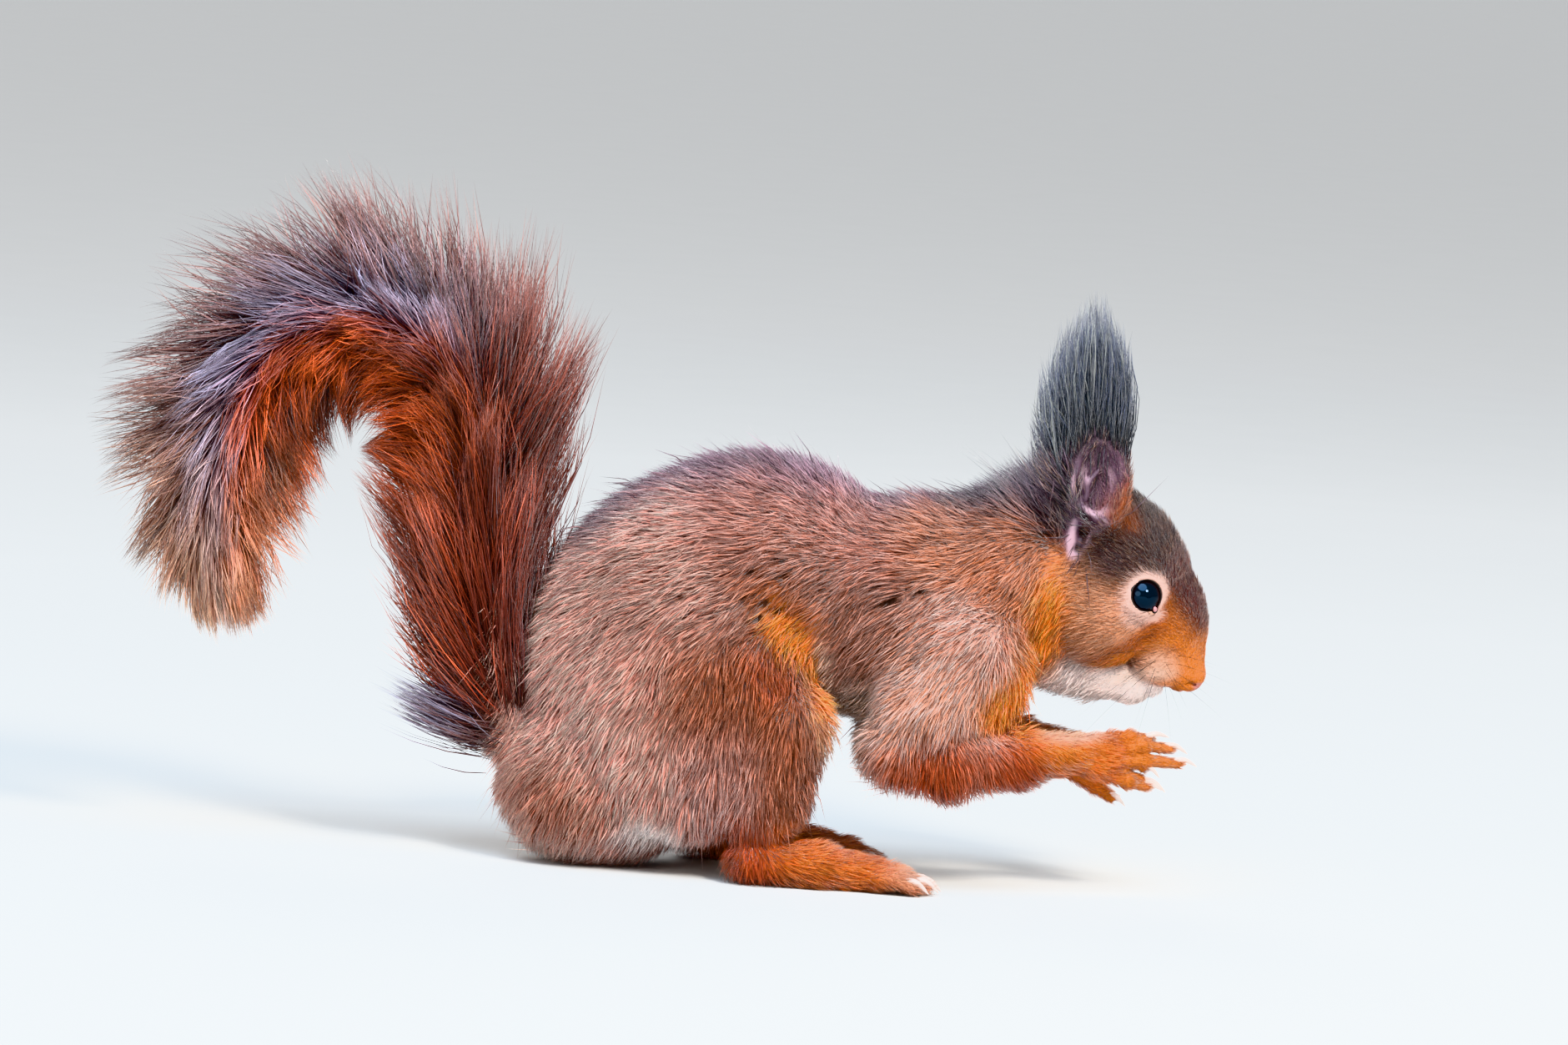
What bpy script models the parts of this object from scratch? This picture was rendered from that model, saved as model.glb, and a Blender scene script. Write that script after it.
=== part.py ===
"""Red squirrel, life size, sitting on its haunches with both hands raised to its mouth.

Every solid reaches out to the tips of the coat. The animal faces +X, its left side is +Y and it rests
on the floor at Z = 0. Forms are blocked out as balls and tapered chains of balls, merged into one skin by
a voxel remesh, and parted with thin cuts into the parts a person would name.
"""

import math

import bmesh
import bpy
from mathutils import Matrix, Vector

MM = 0.001
GAP = 0.3 * MM  # clearance between neighbouring solids
LIMB_ROOM = 1.5  # mm that a limb's bounds stand off its own form
MIDDLE_X = -4.2 * MM  # the middle of the whole length, which becomes the origin
SIDES = {"right": -1, "left": 1}

# Resolution of the merged forms: voxel edge, smoothing passes and triangles kept.
BODY_DETAIL = (1.5 * MM, 7, 1400)
HEAD_DETAIL = (0.9 * MM, 4, 900)
JAW_DETAIL = (0.6 * MM, 2, 110)
HAND_DETAIL = (0.5 * MM, 2, 420)
FOOT_DETAIL = (0.6 * MM, 2, 380)
EAR_DETAIL = (0.8 * MM, 4, 200)
TUFT_DETAIL = (0.9 * MM, 4, 140)

# Balls: centre x, y, z; half-axes along, across and up; pitch in degrees, nose down. All in mm.
TRUNK_BALLS = {
    "rump": ((-2.5, 0, 56), (34.5, 30, 44), 16),
    "seat": ((-14, 0, 22), (28.5, 26, 25), 0),
    "loin": ((22, 0, 72), (40.5, 30, 35.5), 3),
    "chest": ((58, 0, 67), (35, 25.5, 30.5), 4),
}
HEAD_BALLS = {
    "cranium": ((109, 0, 83), (23.6, 17.1, 19.1), 47),
    "throat": ((92, 0, 64), (15, 14, 12), 10),
    "nape": ((92, 0, 89), (13.5, 13, 13), 0),
}
CHEEK = ((106, 8.5, 68.5), (14, 10, 11.5), 30)
BROW = ((117.5, 8.2, 78.5), (9, 6.8, 8.2), 45)
WHISKER_PAD = ((122.5, 4.2, 59), (7.6, 5, 6.3), 35)
HAUNCH = ((9, 19, 44), (32, 17.5, 38), -4)
SHOULDER = ((72, 15, 56), (21, 13, 24), 0)

# Chains: stations of x, y, z and radius in mm, and the ratio of width to height.
NECK = ([(66, 0, 74, 24.5), (82, 0, 77, 22), (98, 0, 78, 20.5)], 0.92)
MUZZLE = ([(113, 0, 78, 15.8), (122.5, 0, 69, 11.6), (129, 0, 57.5, 6)], 0.92)
BRIDGE = ([(116.5, 0, 89.5, 8.0), (120.5, 0, 82.8, 7.9), (124.9, 0, 74.7, 7.6), (126.6, 0, 68.0, 6.9)], 0.9)
JAW = ([(98, 0, 60, 10.0), (107, 0, 56.2, 8.1), (116, 0, 53.2, 5.9), (121, 0, 53.4, 4.1)], 0.95)
UPPER_ARM = ([(74, 17, 60, 15), (66, 19, 46, 13.5), (60, 19, 36, 11)], 0.9)
SHANK = ([(31, 23, 40, 13), (27, 23, 22, 11.5), (25, 23, 9, 8.5)], 0.85)
ELBOW = [(59, 19, 35.5, 10.5), (72, 19, 33.5, 10.5), (88, 16, 34.5, 8.8)]
WRIST = {"right": (102, 12.5, 36), "left": (97, 12.5, 35)}
WRIST_RADIUS = 6.8
FOREARM_WIDTH = 0.9

# One hand, palm towards the middle: offsets forward, outward and up from the wrist.
PALM = ((6.0, -0.8, -0.4), (7.6, 4.0, 6.2), 0)
FINGERS = [  # base, knuckle, tip and claw tip
    [(9.0, -2.0, 3.3), (14.0, -1.7, 4.6), (18.7, -3.0, 4.3), (23.9, -4.2, 5.0)],
    [(9.5, -1.0, 1.0), (17.0, -0.3, 2.9), (24.0, -2.5, 2.4), (28.7, -3.7, 1.2)],
    [(9.7, -0.7, -1.7), (18.0, 0.0, -0.6), (26.3, -2.2, -1.2), (31.2, -3.5, -1.8)],
    [(7.8, -1.3, -4.8), (14.0, -0.7, -6.1), (18.8, -2.7, -7.4), (22.8, -4.0, -8.3)],
]
THUMB = [(5.5, -3.6, 2.6), (9.5, -5.0, 3.8), (12.0, -5.6, 4.0)]
FINGER_RADIUS = 1.9
CLAW_RADII = (1.0, 0.4)
HAND_PITCH = {"right": 0, "left": 15}

# One foot, sole on the floor.
FOOT_LINE = [(24, 23.5, 7.2, 6.6), (40, 24, 6.4, 6.2), (54, 24, 4.4, 5.2)]
FOOT_WIDTH = 1.18
FOOT_SHIFT = {"right": 0, "left": -13}  # the left foot rests further back
ANKLE_HEIGHT = 12
TOE_SPREAD = [-5.4, -2.8, 0, 2.8, 5.2]  # across, from the inner toe to the outer one
TOE_LENGTH = [8.0, 12.2, 13.2, 12.6, 10.0]
TOE_ROOT = (54, 24, 4.0)
TOE_RADIUS = 2.25
TOE_CLAW_LENGTH = 4.2

# Ears and tufts.
EAR = ([(103, 12.5, 89, 7.6), (103.5, 14, 98, 10), (103, 15.5, 108, 11), (102.6, 16.5, 116, 11.4)], 0.46)
EAR_HOLLOW = ((104.2, 20, 100), (5.6, 4.6, 8.8), 0)
TUFT = ([(102.6, 16.2, 113, 11.4), (102.2, 17.2, 123, 11.8), (101.8, 18, 133, 10.4),
         (101.4, 18.4, 141, 7.8), (101, 18.6, 147, 3.6)], 0.46)
TUFT_START = 114

EYE_CENTRE = (116.9, 11.4, 76.3)
EYE_RADIUS = 4.9

# The tail's bush seen from the side: its inner and outer edge (x, z) and its half width, in mm, root to tip.
TAIL_STATIONS = [
    ((-45, 29), (-36, 34), 7),
    ((-66, 46), (-35, 57), 14),
    ((-75, 77), (-27, 89), 19),
    ((-77, 93), (-20, 114), 23),
    ((-77, 101), (-21, 137), 26),
    ((-78, 104), (-38, 157), 26),
    ((-81, 105), (-65, 167), 26),
    ((-83, 105), (-92, 170), 26),
    ((-85, 103), (-122, 156), 26),
    ((-86, 98), (-140, 128), 25),
    ((-87, 91), (-143, 106), 23),
    ((-90, 77), (-140, 81), 20),
    ((-94, 65), (-133, 63), 15),
    ((-100, 55), (-120, 54), 7),
]
TAIL_LENGTHS = {  # first and last station of each length, from the root
    "tail_root": (0, 2),
    "tail_rise": (2, 4),
    "tail_bend": (4, 7),
    "tail_fall": (7, 10),
    "tail_tip": (10, 13),
}
TAIL_RINGS_BETWEEN = 2  # rings from one station to the next
TAIL_CLEAR_OF_BACK = 5  # the station past which the tail stands well off the back
TAIL_RING = 16

# Where the trunk, neck and head are parted: a point and the direction towards the head.
HEAD_CUT = ((94, 0, 80), (0.992, 0, 0.124))
NECK_CUT = ((79, 0, 80), (0.96, 0, 0.28))
CHEST_CUT = ((44, 0, 60), (1, 0, 0))
RUMP_CUT = ((6, 0, 60), (1, 0, 0))

COATS = {  # sRGB colour and roughness of each finish
    "coat_back": ("8A5A48", 0.8),
    "coat_head": ("8B5E3F", 0.8),
    "coat_limb": ("B4602C", 0.8),
    "coat_tail": ("7A3420", 0.8),
    "coat_tuft": ("2E2C30", 0.8),
    "eye_dark": ("0B0A0C", 0.1),
}


# ---------------------------------------------------------------- small helpers

def clear_scene():
    for obj in list(bpy.data.objects):
        bpy.data.objects.remove(obj)


def new_collection(name):
    collection = bpy.data.collections.new(name)
    bpy.context.scene.collection.children.link(collection)
    return collection


def linear(channel):
    return channel / 12.92 if channel <= 0.04045 else ((channel + 0.055) / 1.055) ** 2.4


def make_material(name, hex_colour, roughness):
    material = bpy.data.materials.new(name)
    material.use_nodes = True
    shader = material.node_tree.nodes["Principled BSDF"]
    channels = [linear(int(hex_colour[i:i + 2], 16) / 255) for i in (0, 2, 4)]
    shader.inputs["Base Color"].default_value = (*channels, 1)
    shader.inputs["Roughness"].default_value = roughness
    return material


def add_object(name, mesh, collection, hidden=False):
    obj = bpy.data.objects.new(name, mesh)
    collection.objects.link(obj)
    if hidden:
        obj.hide_render = True
        obj.display_type = "WIRE"
    return obj


def mirrored(point, side):
    return (point[0], point[1] * SIDES[side], point[2])


def pitched(point, degrees):
    """An offset turned nose down about the Y axis."""
    return Matrix.Rotation(math.radians(degrees), 3, "Y") @ Vector(point)


# ---------------------------------------------------------------- clay forms

def add_ball(bm, centre, half_axes, pitch=0.0, subdivisions=3):
    turn = Matrix.Rotation(math.radians(pitch), 4, "Y")
    size = Matrix.Diagonal((*half_axes, 1))
    place = Matrix.Translation(centre)
    scale = Matrix.Scale(MM, 4)
    bmesh.ops.create_icosphere(bm, subdivisions=subdivisions, radius=1, matrix=scale @ place @ turn @ size)


def add_chain(bm, stations, width=1.0):
    """Balls strung along the stations, close enough together to read as one tapered limb."""
    for start, end in zip(stations, stations[1:]):
        a = Vector(start)
        b = Vector(end)
        steps = max(2, math.ceil((b - a).xyz.length / (0.3 * min(a.w, b.w))))
        for step in range(steps + 1):
            mid = a.lerp(b, step / steps)
            add_ball(bm, mid.xyz, (mid.w, mid.w * width, mid.w), subdivisions=2)


def clay(name, build, detail, collection, hidden=True):
    """Merges what build adds to a mesh into one closed skin, smooths it and thins its triangles."""
    voxel, passes, triangles = detail
    bm = bmesh.new()
    build(bm)
    mesh = bpy.data.meshes.new(name)
    bm.to_mesh(mesh)
    bm.free()
    obj = add_object(name, mesh, collection, hidden)
    remesh = obj.modifiers.new("merge", "REMESH")
    remesh.mode = "VOXEL"
    remesh.voxel_size = voxel
    smooth = obj.modifiers.new("smooth", "SMOOTH")
    smooth.factor = 0.5
    smooth.iterations = passes
    dense = finished_mesh(obj)
    faces = sum(len(face.vertices) - 2 for face in dense.polygons)
    obj.modifiers.clear()
    obj.data = dense
    thin = obj.modifiers.new("thin", "DECIMATE")
    thin.ratio = triangles / faces
    thin.use_collapse_triangulate = True
    obj.data = finished_mesh(obj)
    obj.modifiers.clear()
    return obj


def finished_mesh(obj):
    bpy.context.view_layer.update()
    graph = bpy.context.evaluated_depsgraph_get()
    return bpy.data.meshes.new_from_object(obj.evaluated_get(graph), depsgraph=graph)


def grown(obj, distance, collection):
    """A cutter of the same form, with its surface moved out by distance."""
    cutter = add_object(obj.name + "_room", obj.data.copy(), collection, hidden=True)
    push = cutter.modifiers.new("push", "DISPLACE")
    push.strength = distance
    push.mid_level = 0
    return cutter


# ---------------------------------------------------------------- cutters

def half_space(name, point, direction, collection):
    """A large block that holds everything ahead of the point."""
    side = 0.8
    bm = bmesh.new()
    bmesh.ops.create_cube(bm, size=side, matrix=Matrix.Translation((0, 0, side / 2)))
    mesh = bpy.data.meshes.new(name)
    turn = Vector(direction).to_track_quat("Z", "Y").to_matrix().to_4x4()
    bm.transform(Matrix.Translation(point) @ turn)
    bm.to_mesh(mesh)
    bm.free()
    return add_object(name, mesh, collection, hidden=True)


def parting(name, cut, collection):
    """The two blocks either side of a thin cut: what lies ahead of it and what lies behind it."""
    point = Vector(cut[0]) * MM
    direction = Vector(cut[1]).normalized()
    ahead = half_space(name + "_ahead", point - direction * GAP / 2, direction, collection)
    behind = half_space(name + "_behind", point + direction * GAP / 2, -direction, collection)
    return ahead, behind


def hull(name, build, collection):
    bm = bmesh.new()
    build(bm)
    bmesh.ops.delete(bm, geom=bm.edges, context="EDGES_FACES")
    found = bmesh.ops.convex_hull(bm, input=bm.verts)
    inner = {item for item in found["geom_interior"] if isinstance(item, bmesh.types.BMVert)}
    bmesh.ops.delete(bm, geom=list(inner), context="VERTS")
    bmesh.ops.recalc_face_normals(bm, faces=bm.faces)
    mesh = bpy.data.meshes.new(name)
    bm.to_mesh(mesh)
    bm.free()
    return add_object(name, mesh, collection, hidden=True)


def region(name, balls, stations, width, collection, outward=0.0):
    """Two convex cutters round a limb: the inner one bounds the limb, the outer one clears its neighbours.

    They sit outward of the limb's own middle by that many mm, which keeps the trunk whole between the limbs.
    """
    cutters = []
    for label, more in (("keep", LIMB_ROOM), ("clear", LIMB_ROOM + GAP / MM)):
        def build(bm, more=more):
            for (x, y, z), half_axes, pitch in balls:
                size = [axis + more for axis in half_axes]
                add_ball(bm, (x, y + math.copysign(outward, y), z), size, pitch, subdivisions=2)
            for x, y, z, radius in stations:
                size = (radius + more, radius * width + more, radius + more)
                add_ball(bm, (x, y + math.copysign(outward, y), z), size, subdivisions=2)
        cutters.append(hull(f"{name}_{label}", build, collection))
    return cutters


def carve(name, form, material, collection, keep=None, remove=(), solver="EXACT"):
    """One node: the form's mesh, bounded by keep and cleared of each cutter in remove."""
    obj = add_object(name, form.data.copy(), collection)
    obj.data.materials.clear()
    obj.data.materials.append(material)
    if keep is not None:
        bound = obj.modifiers.new("bound", "BOOLEAN")
        bound.operation = "INTERSECT"
        bound.solver = solver
        bound.object = keep
    for cutter in remove:
        cut = obj.modifiers.new("cut", "BOOLEAN")
        cut.operation = "DIFFERENCE"
        cut.solver = solver
        cut.object = cutter
    obj.data = main_body(finished_mesh(obj), name)
    obj.modifiers.clear()
    return obj


def main_body(mesh, name):
    """The largest of a cut mesh's separate bodies, without the slivers that the cuts leave beside it."""
    bm = bmesh.new()
    bm.from_mesh(mesh)
    islands = []
    waiting = set(bm.verts)
    while waiting:
        island = [waiting.pop()]
        for vert in island:
            for edge in vert.link_edges:
                other = edge.other_vert(vert)
                if other in waiting:
                    waiting.remove(other)
                    island.append(other)
        islands.append(island)
    islands.sort(key=len)
    for island in islands[:-1]:
        bmesh.ops.delete(bm, geom=island, context="VERTS")
    bm.to_mesh(mesh)
    bm.free()
    mesh.name = name
    return mesh


# ---------------------------------------------------------------- the animal's forms

def sided_ball(ball, side):
    return (mirrored(ball[0], side), ball[1], ball[2])


def sided_chain(stations, side, shift=0.0):
    return [(x + shift, y * SIDES[side], z, radius) for x, y, z, radius in stations]


def leg_shift(side):
    """How far back the thigh and shank sit: half as far as the foot."""
    return FOOT_SHIFT[side] / 2


def haunch_of(side):
    centre, half_axes, pitch = sided_ball(HAUNCH, side)
    return ((centre[0] + leg_shift(side), centre[1], centre[2]), half_axes, pitch)


def shank_of(side):
    """The shank leans back towards its heel on the side whose foot rests further back."""
    knee, middle, heel = sided_chain(SHANK[0], side)
    shift = FOOT_SHIFT[side]
    moved = [(x + shift * share, y, z, radius)
             for (x, y, z, radius), share in ((knee, 0.5), (middle, 0.8), (heel, 1.0))]
    return moved


def forearm_of(side):
    wrist = mirrored(WRIST[side], side)
    return sided_chain(ELBOW, side) + [(*wrist, WRIST_RADIUS)]


def build_body(bm):
    for ball in TRUNK_BALLS.values():
        add_ball(bm, *ball)
    for name in ("throat", "nape"):
        add_ball(bm, *HEAD_BALLS[name])
    add_chain(bm, *NECK)
    for side in SIDES:
        add_ball(bm, *haunch_of(side))
        add_ball(bm, *sided_ball(SHOULDER, side))
        add_chain(bm, sided_chain(UPPER_ARM[0], side), UPPER_ARM[1])
        add_chain(bm, forearm_of(side), FOREARM_WIDTH)
        add_chain(bm, shank_of(side), SHANK[1])


def build_head(bm):
    for ball in HEAD_BALLS.values():
        add_ball(bm, *ball)
    add_chain(bm, *NECK)
    add_chain(bm, *MUZZLE)
    add_chain(bm, *BRIDGE)
    for side in SIDES:
        for ball in (CHEEK, BROW, WHISKER_PAD):
            add_ball(bm, *sided_ball(ball, side))


def build_jaw(bm):
    add_chain(bm, *JAW)


def hand_point(offset, side):
    """A place on a hand from its offset to the wrist, turned with that hand."""
    turned = pitched(offset, HAND_PITCH[side])
    x, y, z = WRIST[side]
    return mirrored((x + turned.x, y + turned.y, z + turned.z), side)


def add_claw(bm, start, end):
    add_chain(bm, [(*start, CLAW_RADII[0]), (*end, CLAW_RADII[1])])


def build_hand(bm, side):
    centre, half_axes, pitch = PALM
    add_ball(bm, hand_point(centre, side), half_axes, pitch + HAND_PITCH[side])
    add_chain(bm, forearm_of(side)[-2:], FOREARM_WIDTH)
    for base, knuckle, tip, claw in FINGERS:
        places = [hand_point(offset, side) for offset in (base, knuckle, tip)]
        sizes = (FINGER_RADIUS, FINGER_RADIUS, 0.82 * FINGER_RADIUS)
        add_chain(bm, [(*place, size) for place, size in zip(places, sizes)])
        add_claw(bm, places[-1], hand_point(claw, side))
    add_chain(bm, [(*hand_point(offset, side), FINGER_RADIUS) for offset in THUMB])


def build_foot(bm, side):
    shift = FOOT_SHIFT[side]
    add_chain(bm, shank_of(side)[1:], SHANK[1])
    add_chain(bm, sided_chain(FOOT_LINE, side, shift), FOOT_WIDTH)
    x, y, z = TOE_ROOT
    for spread, length in zip(TOE_SPREAD, TOE_LENGTH):
        root = mirrored((x + shift, y + 0.8 * spread, z), side)
        bend = mirrored((x + shift + 0.55 * length, y + 1.05 * spread, z - 0.2), side)
        tip = mirrored((x + shift + length, y + 1.2 * spread, z - 1.9), side)
        claw = mirrored((x + shift + length + TOE_CLAW_LENGTH, y + 1.25 * spread, 0.9), side)
        sizes = (TOE_RADIUS, TOE_RADIUS, 0.8 * TOE_RADIUS)
        add_chain(bm, [(*place, size) for place, size in zip((root, bend, tip), sizes)])
        add_claw(bm, (tip[0], tip[1], tip[2] + 0.6), claw)


def build_ear(bm, side):
    add_chain(bm, sided_chain(EAR[0], side), EAR[1])


def build_tuft(bm, side):
    add_chain(bm, sided_chain(TUFT[0], side), TUFT[1])


# ---------------------------------------------------------------- tail

def smooth_between(stations, place):
    """A value on the curve through the stations, each a tuple of numbers, at a place counted in stations."""
    last = len(stations) - 1
    index = min(int(place), last - 1)
    t = place - index
    before, start, end, after = (Vector(stations[min(max(index + step, 0), last)]) for step in (-1, 0, 1, 2))
    pull = (end - before) / 2
    push = (after - start) / 2
    return (start * (2 * t ** 3 - 3 * t ** 2 + 1) + pull * (t ** 3 - 2 * t ** 2 + t)
            + end * (3 * t ** 2 - 2 * t ** 3) + push * (t ** 3 - t ** 2))


def tail_ring(bm, place, inset):
    """One elliptical section, moved along the tail by inset."""
    inner = smooth_between([(x, 0, z) for (x, z), _, _ in TAIL_STATIONS], place)
    outer = smooth_between([(x, 0, z) for _, (x, z), _ in TAIL_STATIONS], place)
    half_width = smooth_between([(width, 0) for _, _, width in TAIL_STATIONS], place)[0]
    centre = (inner + outer) / 2
    reach = (outer - inner) / 2
    along = reach.cross(Vector((0, 1, 0))).normalized() * inset
    ring = []
    for step in range(TAIL_RING):
        angle = math.tau * step / TAIL_RING
        point = centre + reach * math.cos(angle) + Vector((0, half_width * math.sin(angle), 0))
        ring.append(bm.verts.new(point * MM + along))
    return ring


def build_tail_length(name, first, last, collection):
    """A loft through the tail's elliptical sections, closed at both ends."""
    bm = bmesh.new()
    steps = (last - first) * TAIL_RINGS_BETWEEN
    rings = []
    for step in range(steps + 1):
        inset = {0: GAP / 2, steps: -GAP / 2}.get(step, 0)
        rings.append(tail_ring(bm, first + step / TAIL_RINGS_BETWEEN, inset))
    for ring, following in zip(rings, rings[1:]):
        for step in range(TAIL_RING):
            after = (step + 1) % TAIL_RING
            bm.faces.new((ring[step], ring[after], following[after], following[step]))
    bm.faces.new(rings[0])
    bm.faces.new(rings[-1])
    bmesh.ops.recalc_face_normals(bm, faces=bm.faces)
    mesh = bpy.data.meshes.new(name)
    bm.to_mesh(mesh)
    bm.free()
    return add_object(name, mesh, collection, hidden=True)


# ---------------------------------------------------------------- nodes

def make_trunk(body, limbs, planes, materials, parts, floor):
    """The rump, belly, chest and neck, parted across the spine and cleared of the limbs."""
    clear = [cutters[1] for cutters in limbs.values()]
    head, neck, chest, rump = (planes[key] for key in ("head", "neck", "chest", "rump"))
    back = materials["coat_back"]
    carve("rump", body, back, parts, remove=[rump[0], floor, *clear])
    carve("belly", body, back, parts, remove=[rump[1], chest[0], *clear])
    carve("chest", body, back, parts, remove=[chest[1], neck[0], *clear])
    carve("neck", body, back, parts, remove=[neck[1], head[0], *clear])


def make_legs(body, limbs, materials, forms, parts, floor, cutters):
    coat = materials["coat_limb"]
    back = materials["coat_back"]
    ankle = parting("ankle", ((0, 0, ANKLE_HEIGHT), (0, 0, 1)), cutters)
    for side in SIDES:
        thigh = limbs["thigh_" + side]
        shank = limbs["shank_" + side]
        carve("thigh_" + side, body, back, parts, keep=thigh[0], remove=[shank[1], floor])
        carve("shank_" + side, body, back, parts, keep=shank[0], remove=[ankle[1]])

        def build(bm, side=side):
            build_foot(bm, side)
        form = clay("foot_form_" + side, build, FOOT_DETAIL, forms)
        carve("foot_" + side, form, coat, parts, remove=[ankle[0], floor])


def make_arms(body, limbs, materials, forms, parts, cutters):
    coat = materials["coat_limb"]
    for side in SIDES:
        arm = limbs["upper_arm_" + side]
        forearm = limbs["forearm_" + side]
        wrist_cut = ((WRIST[side][0] - 1, 0, 0), (1, 0, 0))
        wrist = parting("wrist_" + side, wrist_cut, cutters)
        carve("upper_arm_" + side, body, coat, parts, keep=arm[0])
        carve("forearm_" + side, body, coat, parts, keep=forearm[0], remove=[arm[1], wrist[0]])

        def build(bm, side=side):
            build_hand(bm, side)
        form = clay("hand_form_" + side, build, HAND_DETAIL, forms)
        carve("hand_" + side, form, coat, parts, remove=[wrist[1]])


def make_head(planes, materials, forms, parts, cutters):
    head_form = clay("head_form", build_head, HEAD_DETAIL, forms)
    jaw_form = clay("jaw_form", build_jaw, JAW_DETAIL, forms)
    room = grown(head_form, GAP, cutters)
    sockets = []
    for side in SIDES:
        eye = make_eye(side, materials, parts)
        socket = grown(eye, GAP, cutters)
        sockets.append(socket)
        make_ear(side, room, materials, forms, parts, cutters)
    behind = planes["head"][1]
    carve("head", head_form, materials["coat_head"], parts, remove=[behind, *sockets])
    carve("lower_jaw", jaw_form, materials["coat_head"], parts, remove=[room, behind])


def make_eye(side, materials, parts):
    bm = bmesh.new()
    centre = Vector(mirrored(EYE_CENTRE, side)) * MM
    bmesh.ops.create_uvsphere(bm, u_segments=12, v_segments=8, radius=EYE_RADIUS * MM,
                              matrix=Matrix.Translation(centre) @ Matrix.Rotation(math.pi / 2, 4, "X"))
    mesh = bpy.data.meshes.new("eye_" + side)
    bm.to_mesh(mesh)
    bm.free()
    mesh.shade_smooth()
    mesh.materials.append(materials["eye_dark"])
    return add_object("eye_" + side, mesh, parts)


def make_ear(side, head_room, materials, forms, parts, cutters):
    def build_pinna(bm):
        build_ear(bm, side)

    def build_hair(bm):
        build_tuft(bm, side)

    def build_hollow(bm):
        add_ball(bm, *sided_ball(EAR_HOLLOW, side), subdivisions=2)
    ear_form = clay("ear_form_" + side, build_pinna, EAR_DETAIL, forms)
    tuft_form = clay("tuft_form_" + side, build_hair, TUFT_DETAIL, forms)
    hollow = hull("ear_hollow_" + side, build_hollow, cutters)
    top = parting("ear_top_" + side, ((0, 0, TUFT_START), (0, 0, 1)), cutters)
    # The exact solver loses the whole right ear here.
    carve("ear_" + side, ear_form, materials["coat_head"], parts,
          remove=[head_room, hollow, top[0]], solver="MANIFOLD")
    carve("ear_tuft_" + side, tuft_form, materials["coat_tuft"], parts, remove=[top[1]])


def make_tail(body, materials, forms, parts, cutters):
    room = grown(body, GAP, cutters)
    for name, (first, last) in TAIL_LENGTHS.items():
        form = build_tail_length(name + "_form", first, last, forms)
        carve(name, form, materials["coat_tail"], parts, remove=[room] if last < TAIL_CLEAR_OF_BACK else [])


def limb_regions(cutters):
    """The convex bounds of each limb, by node name."""
    found = {}
    for side in SIDES:
        arm = sided_chain(UPPER_ARM[0], side)
        found["thigh_" + side] = region("thigh_" + side, [haunch_of(side)], [], 1, cutters, 8)
        found["shank_" + side] = region("shank_" + side, [], shank_of(side), SHANK[1], cutters)
        found["upper_arm_" + side] = region("upper_arm_" + side, [], arm, UPPER_ARM[1], cutters, 5)
        found["forearm_" + side] = region("forearm_" + side, [], forearm_of(side), FOREARM_WIDTH, cutters)
    return found


def main():
    clear_scene()
    parts = new_collection("red_squirrel")
    forms = new_collection("forms")
    cutters = new_collection("cutters")
    materials = {name: make_material(name, *look) for name, look in COATS.items()}
    floor = half_space("floor", (0, 0, 0), (0, 0, -1), cutters)
    planes = {name: parting(name, cut, cutters) for name, cut in
              (("head", HEAD_CUT), ("neck", NECK_CUT), ("chest", CHEST_CUT), ("rump", RUMP_CUT))}
    limbs = limb_regions(cutters)
    body = clay("body_form", build_body, BODY_DETAIL, forms)
    make_trunk(body, limbs, planes, materials, parts, floor)
    make_legs(body, limbs, materials, forms, parts, floor, cutters)
    make_arms(body, limbs, materials, forms, parts, cutters)
    make_head(planes, materials, forms, parts, cutters)
    make_tail(body, materials, forms, parts, cutters)
    for obj in parts.objects:
        obj.data.transform(Matrix.Translation((-MIDDLE_X, 0, 0)))


main()
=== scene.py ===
"""Dresses the red squirrel: one skin, a coat of solid tufts, eyes, claws and whiskers, on a pale floor.

Sizes here are in millimetres in the animal's own frame: it faces +X, its left is +Y and it rests on Z = 0.
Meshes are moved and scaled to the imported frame, in metres, when they are made.
"""

import math

import bpy
import numpy as np
from bpy.props import FloatProperty, FloatVectorProperty, IntProperty, PointerProperty
from mathutils import Matrix, Vector
from mathutils.kdtree import KDTree


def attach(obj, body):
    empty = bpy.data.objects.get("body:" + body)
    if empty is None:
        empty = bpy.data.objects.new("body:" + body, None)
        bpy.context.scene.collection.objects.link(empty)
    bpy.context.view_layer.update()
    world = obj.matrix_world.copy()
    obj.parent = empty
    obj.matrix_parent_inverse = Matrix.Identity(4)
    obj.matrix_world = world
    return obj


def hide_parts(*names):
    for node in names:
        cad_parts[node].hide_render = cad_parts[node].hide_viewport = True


bl_info = {
    "name": "Red Squirrel",
    "version": (1, 0, 0),
    "blender": (4, 5, 0),
    "location": "3D View > Sidebar > Squirrel",
    "description": "A life-size red squirrel with its skin, coat, eyes, claws and whiskers",
    "category": "Object",
}

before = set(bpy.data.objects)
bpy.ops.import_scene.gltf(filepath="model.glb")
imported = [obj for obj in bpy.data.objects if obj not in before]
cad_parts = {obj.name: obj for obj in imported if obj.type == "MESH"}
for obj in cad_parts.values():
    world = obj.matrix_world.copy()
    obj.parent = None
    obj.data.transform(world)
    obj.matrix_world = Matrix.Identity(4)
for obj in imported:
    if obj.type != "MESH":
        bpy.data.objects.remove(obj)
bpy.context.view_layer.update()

MM = 0.001
MIDDLE_X = -4.2  # the animal's own X at the middle of its whole length
SIDES = {"right": -1, "left": 1}
SEED = 7


# ---------------------------------------------------------------- the animal's forms

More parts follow.
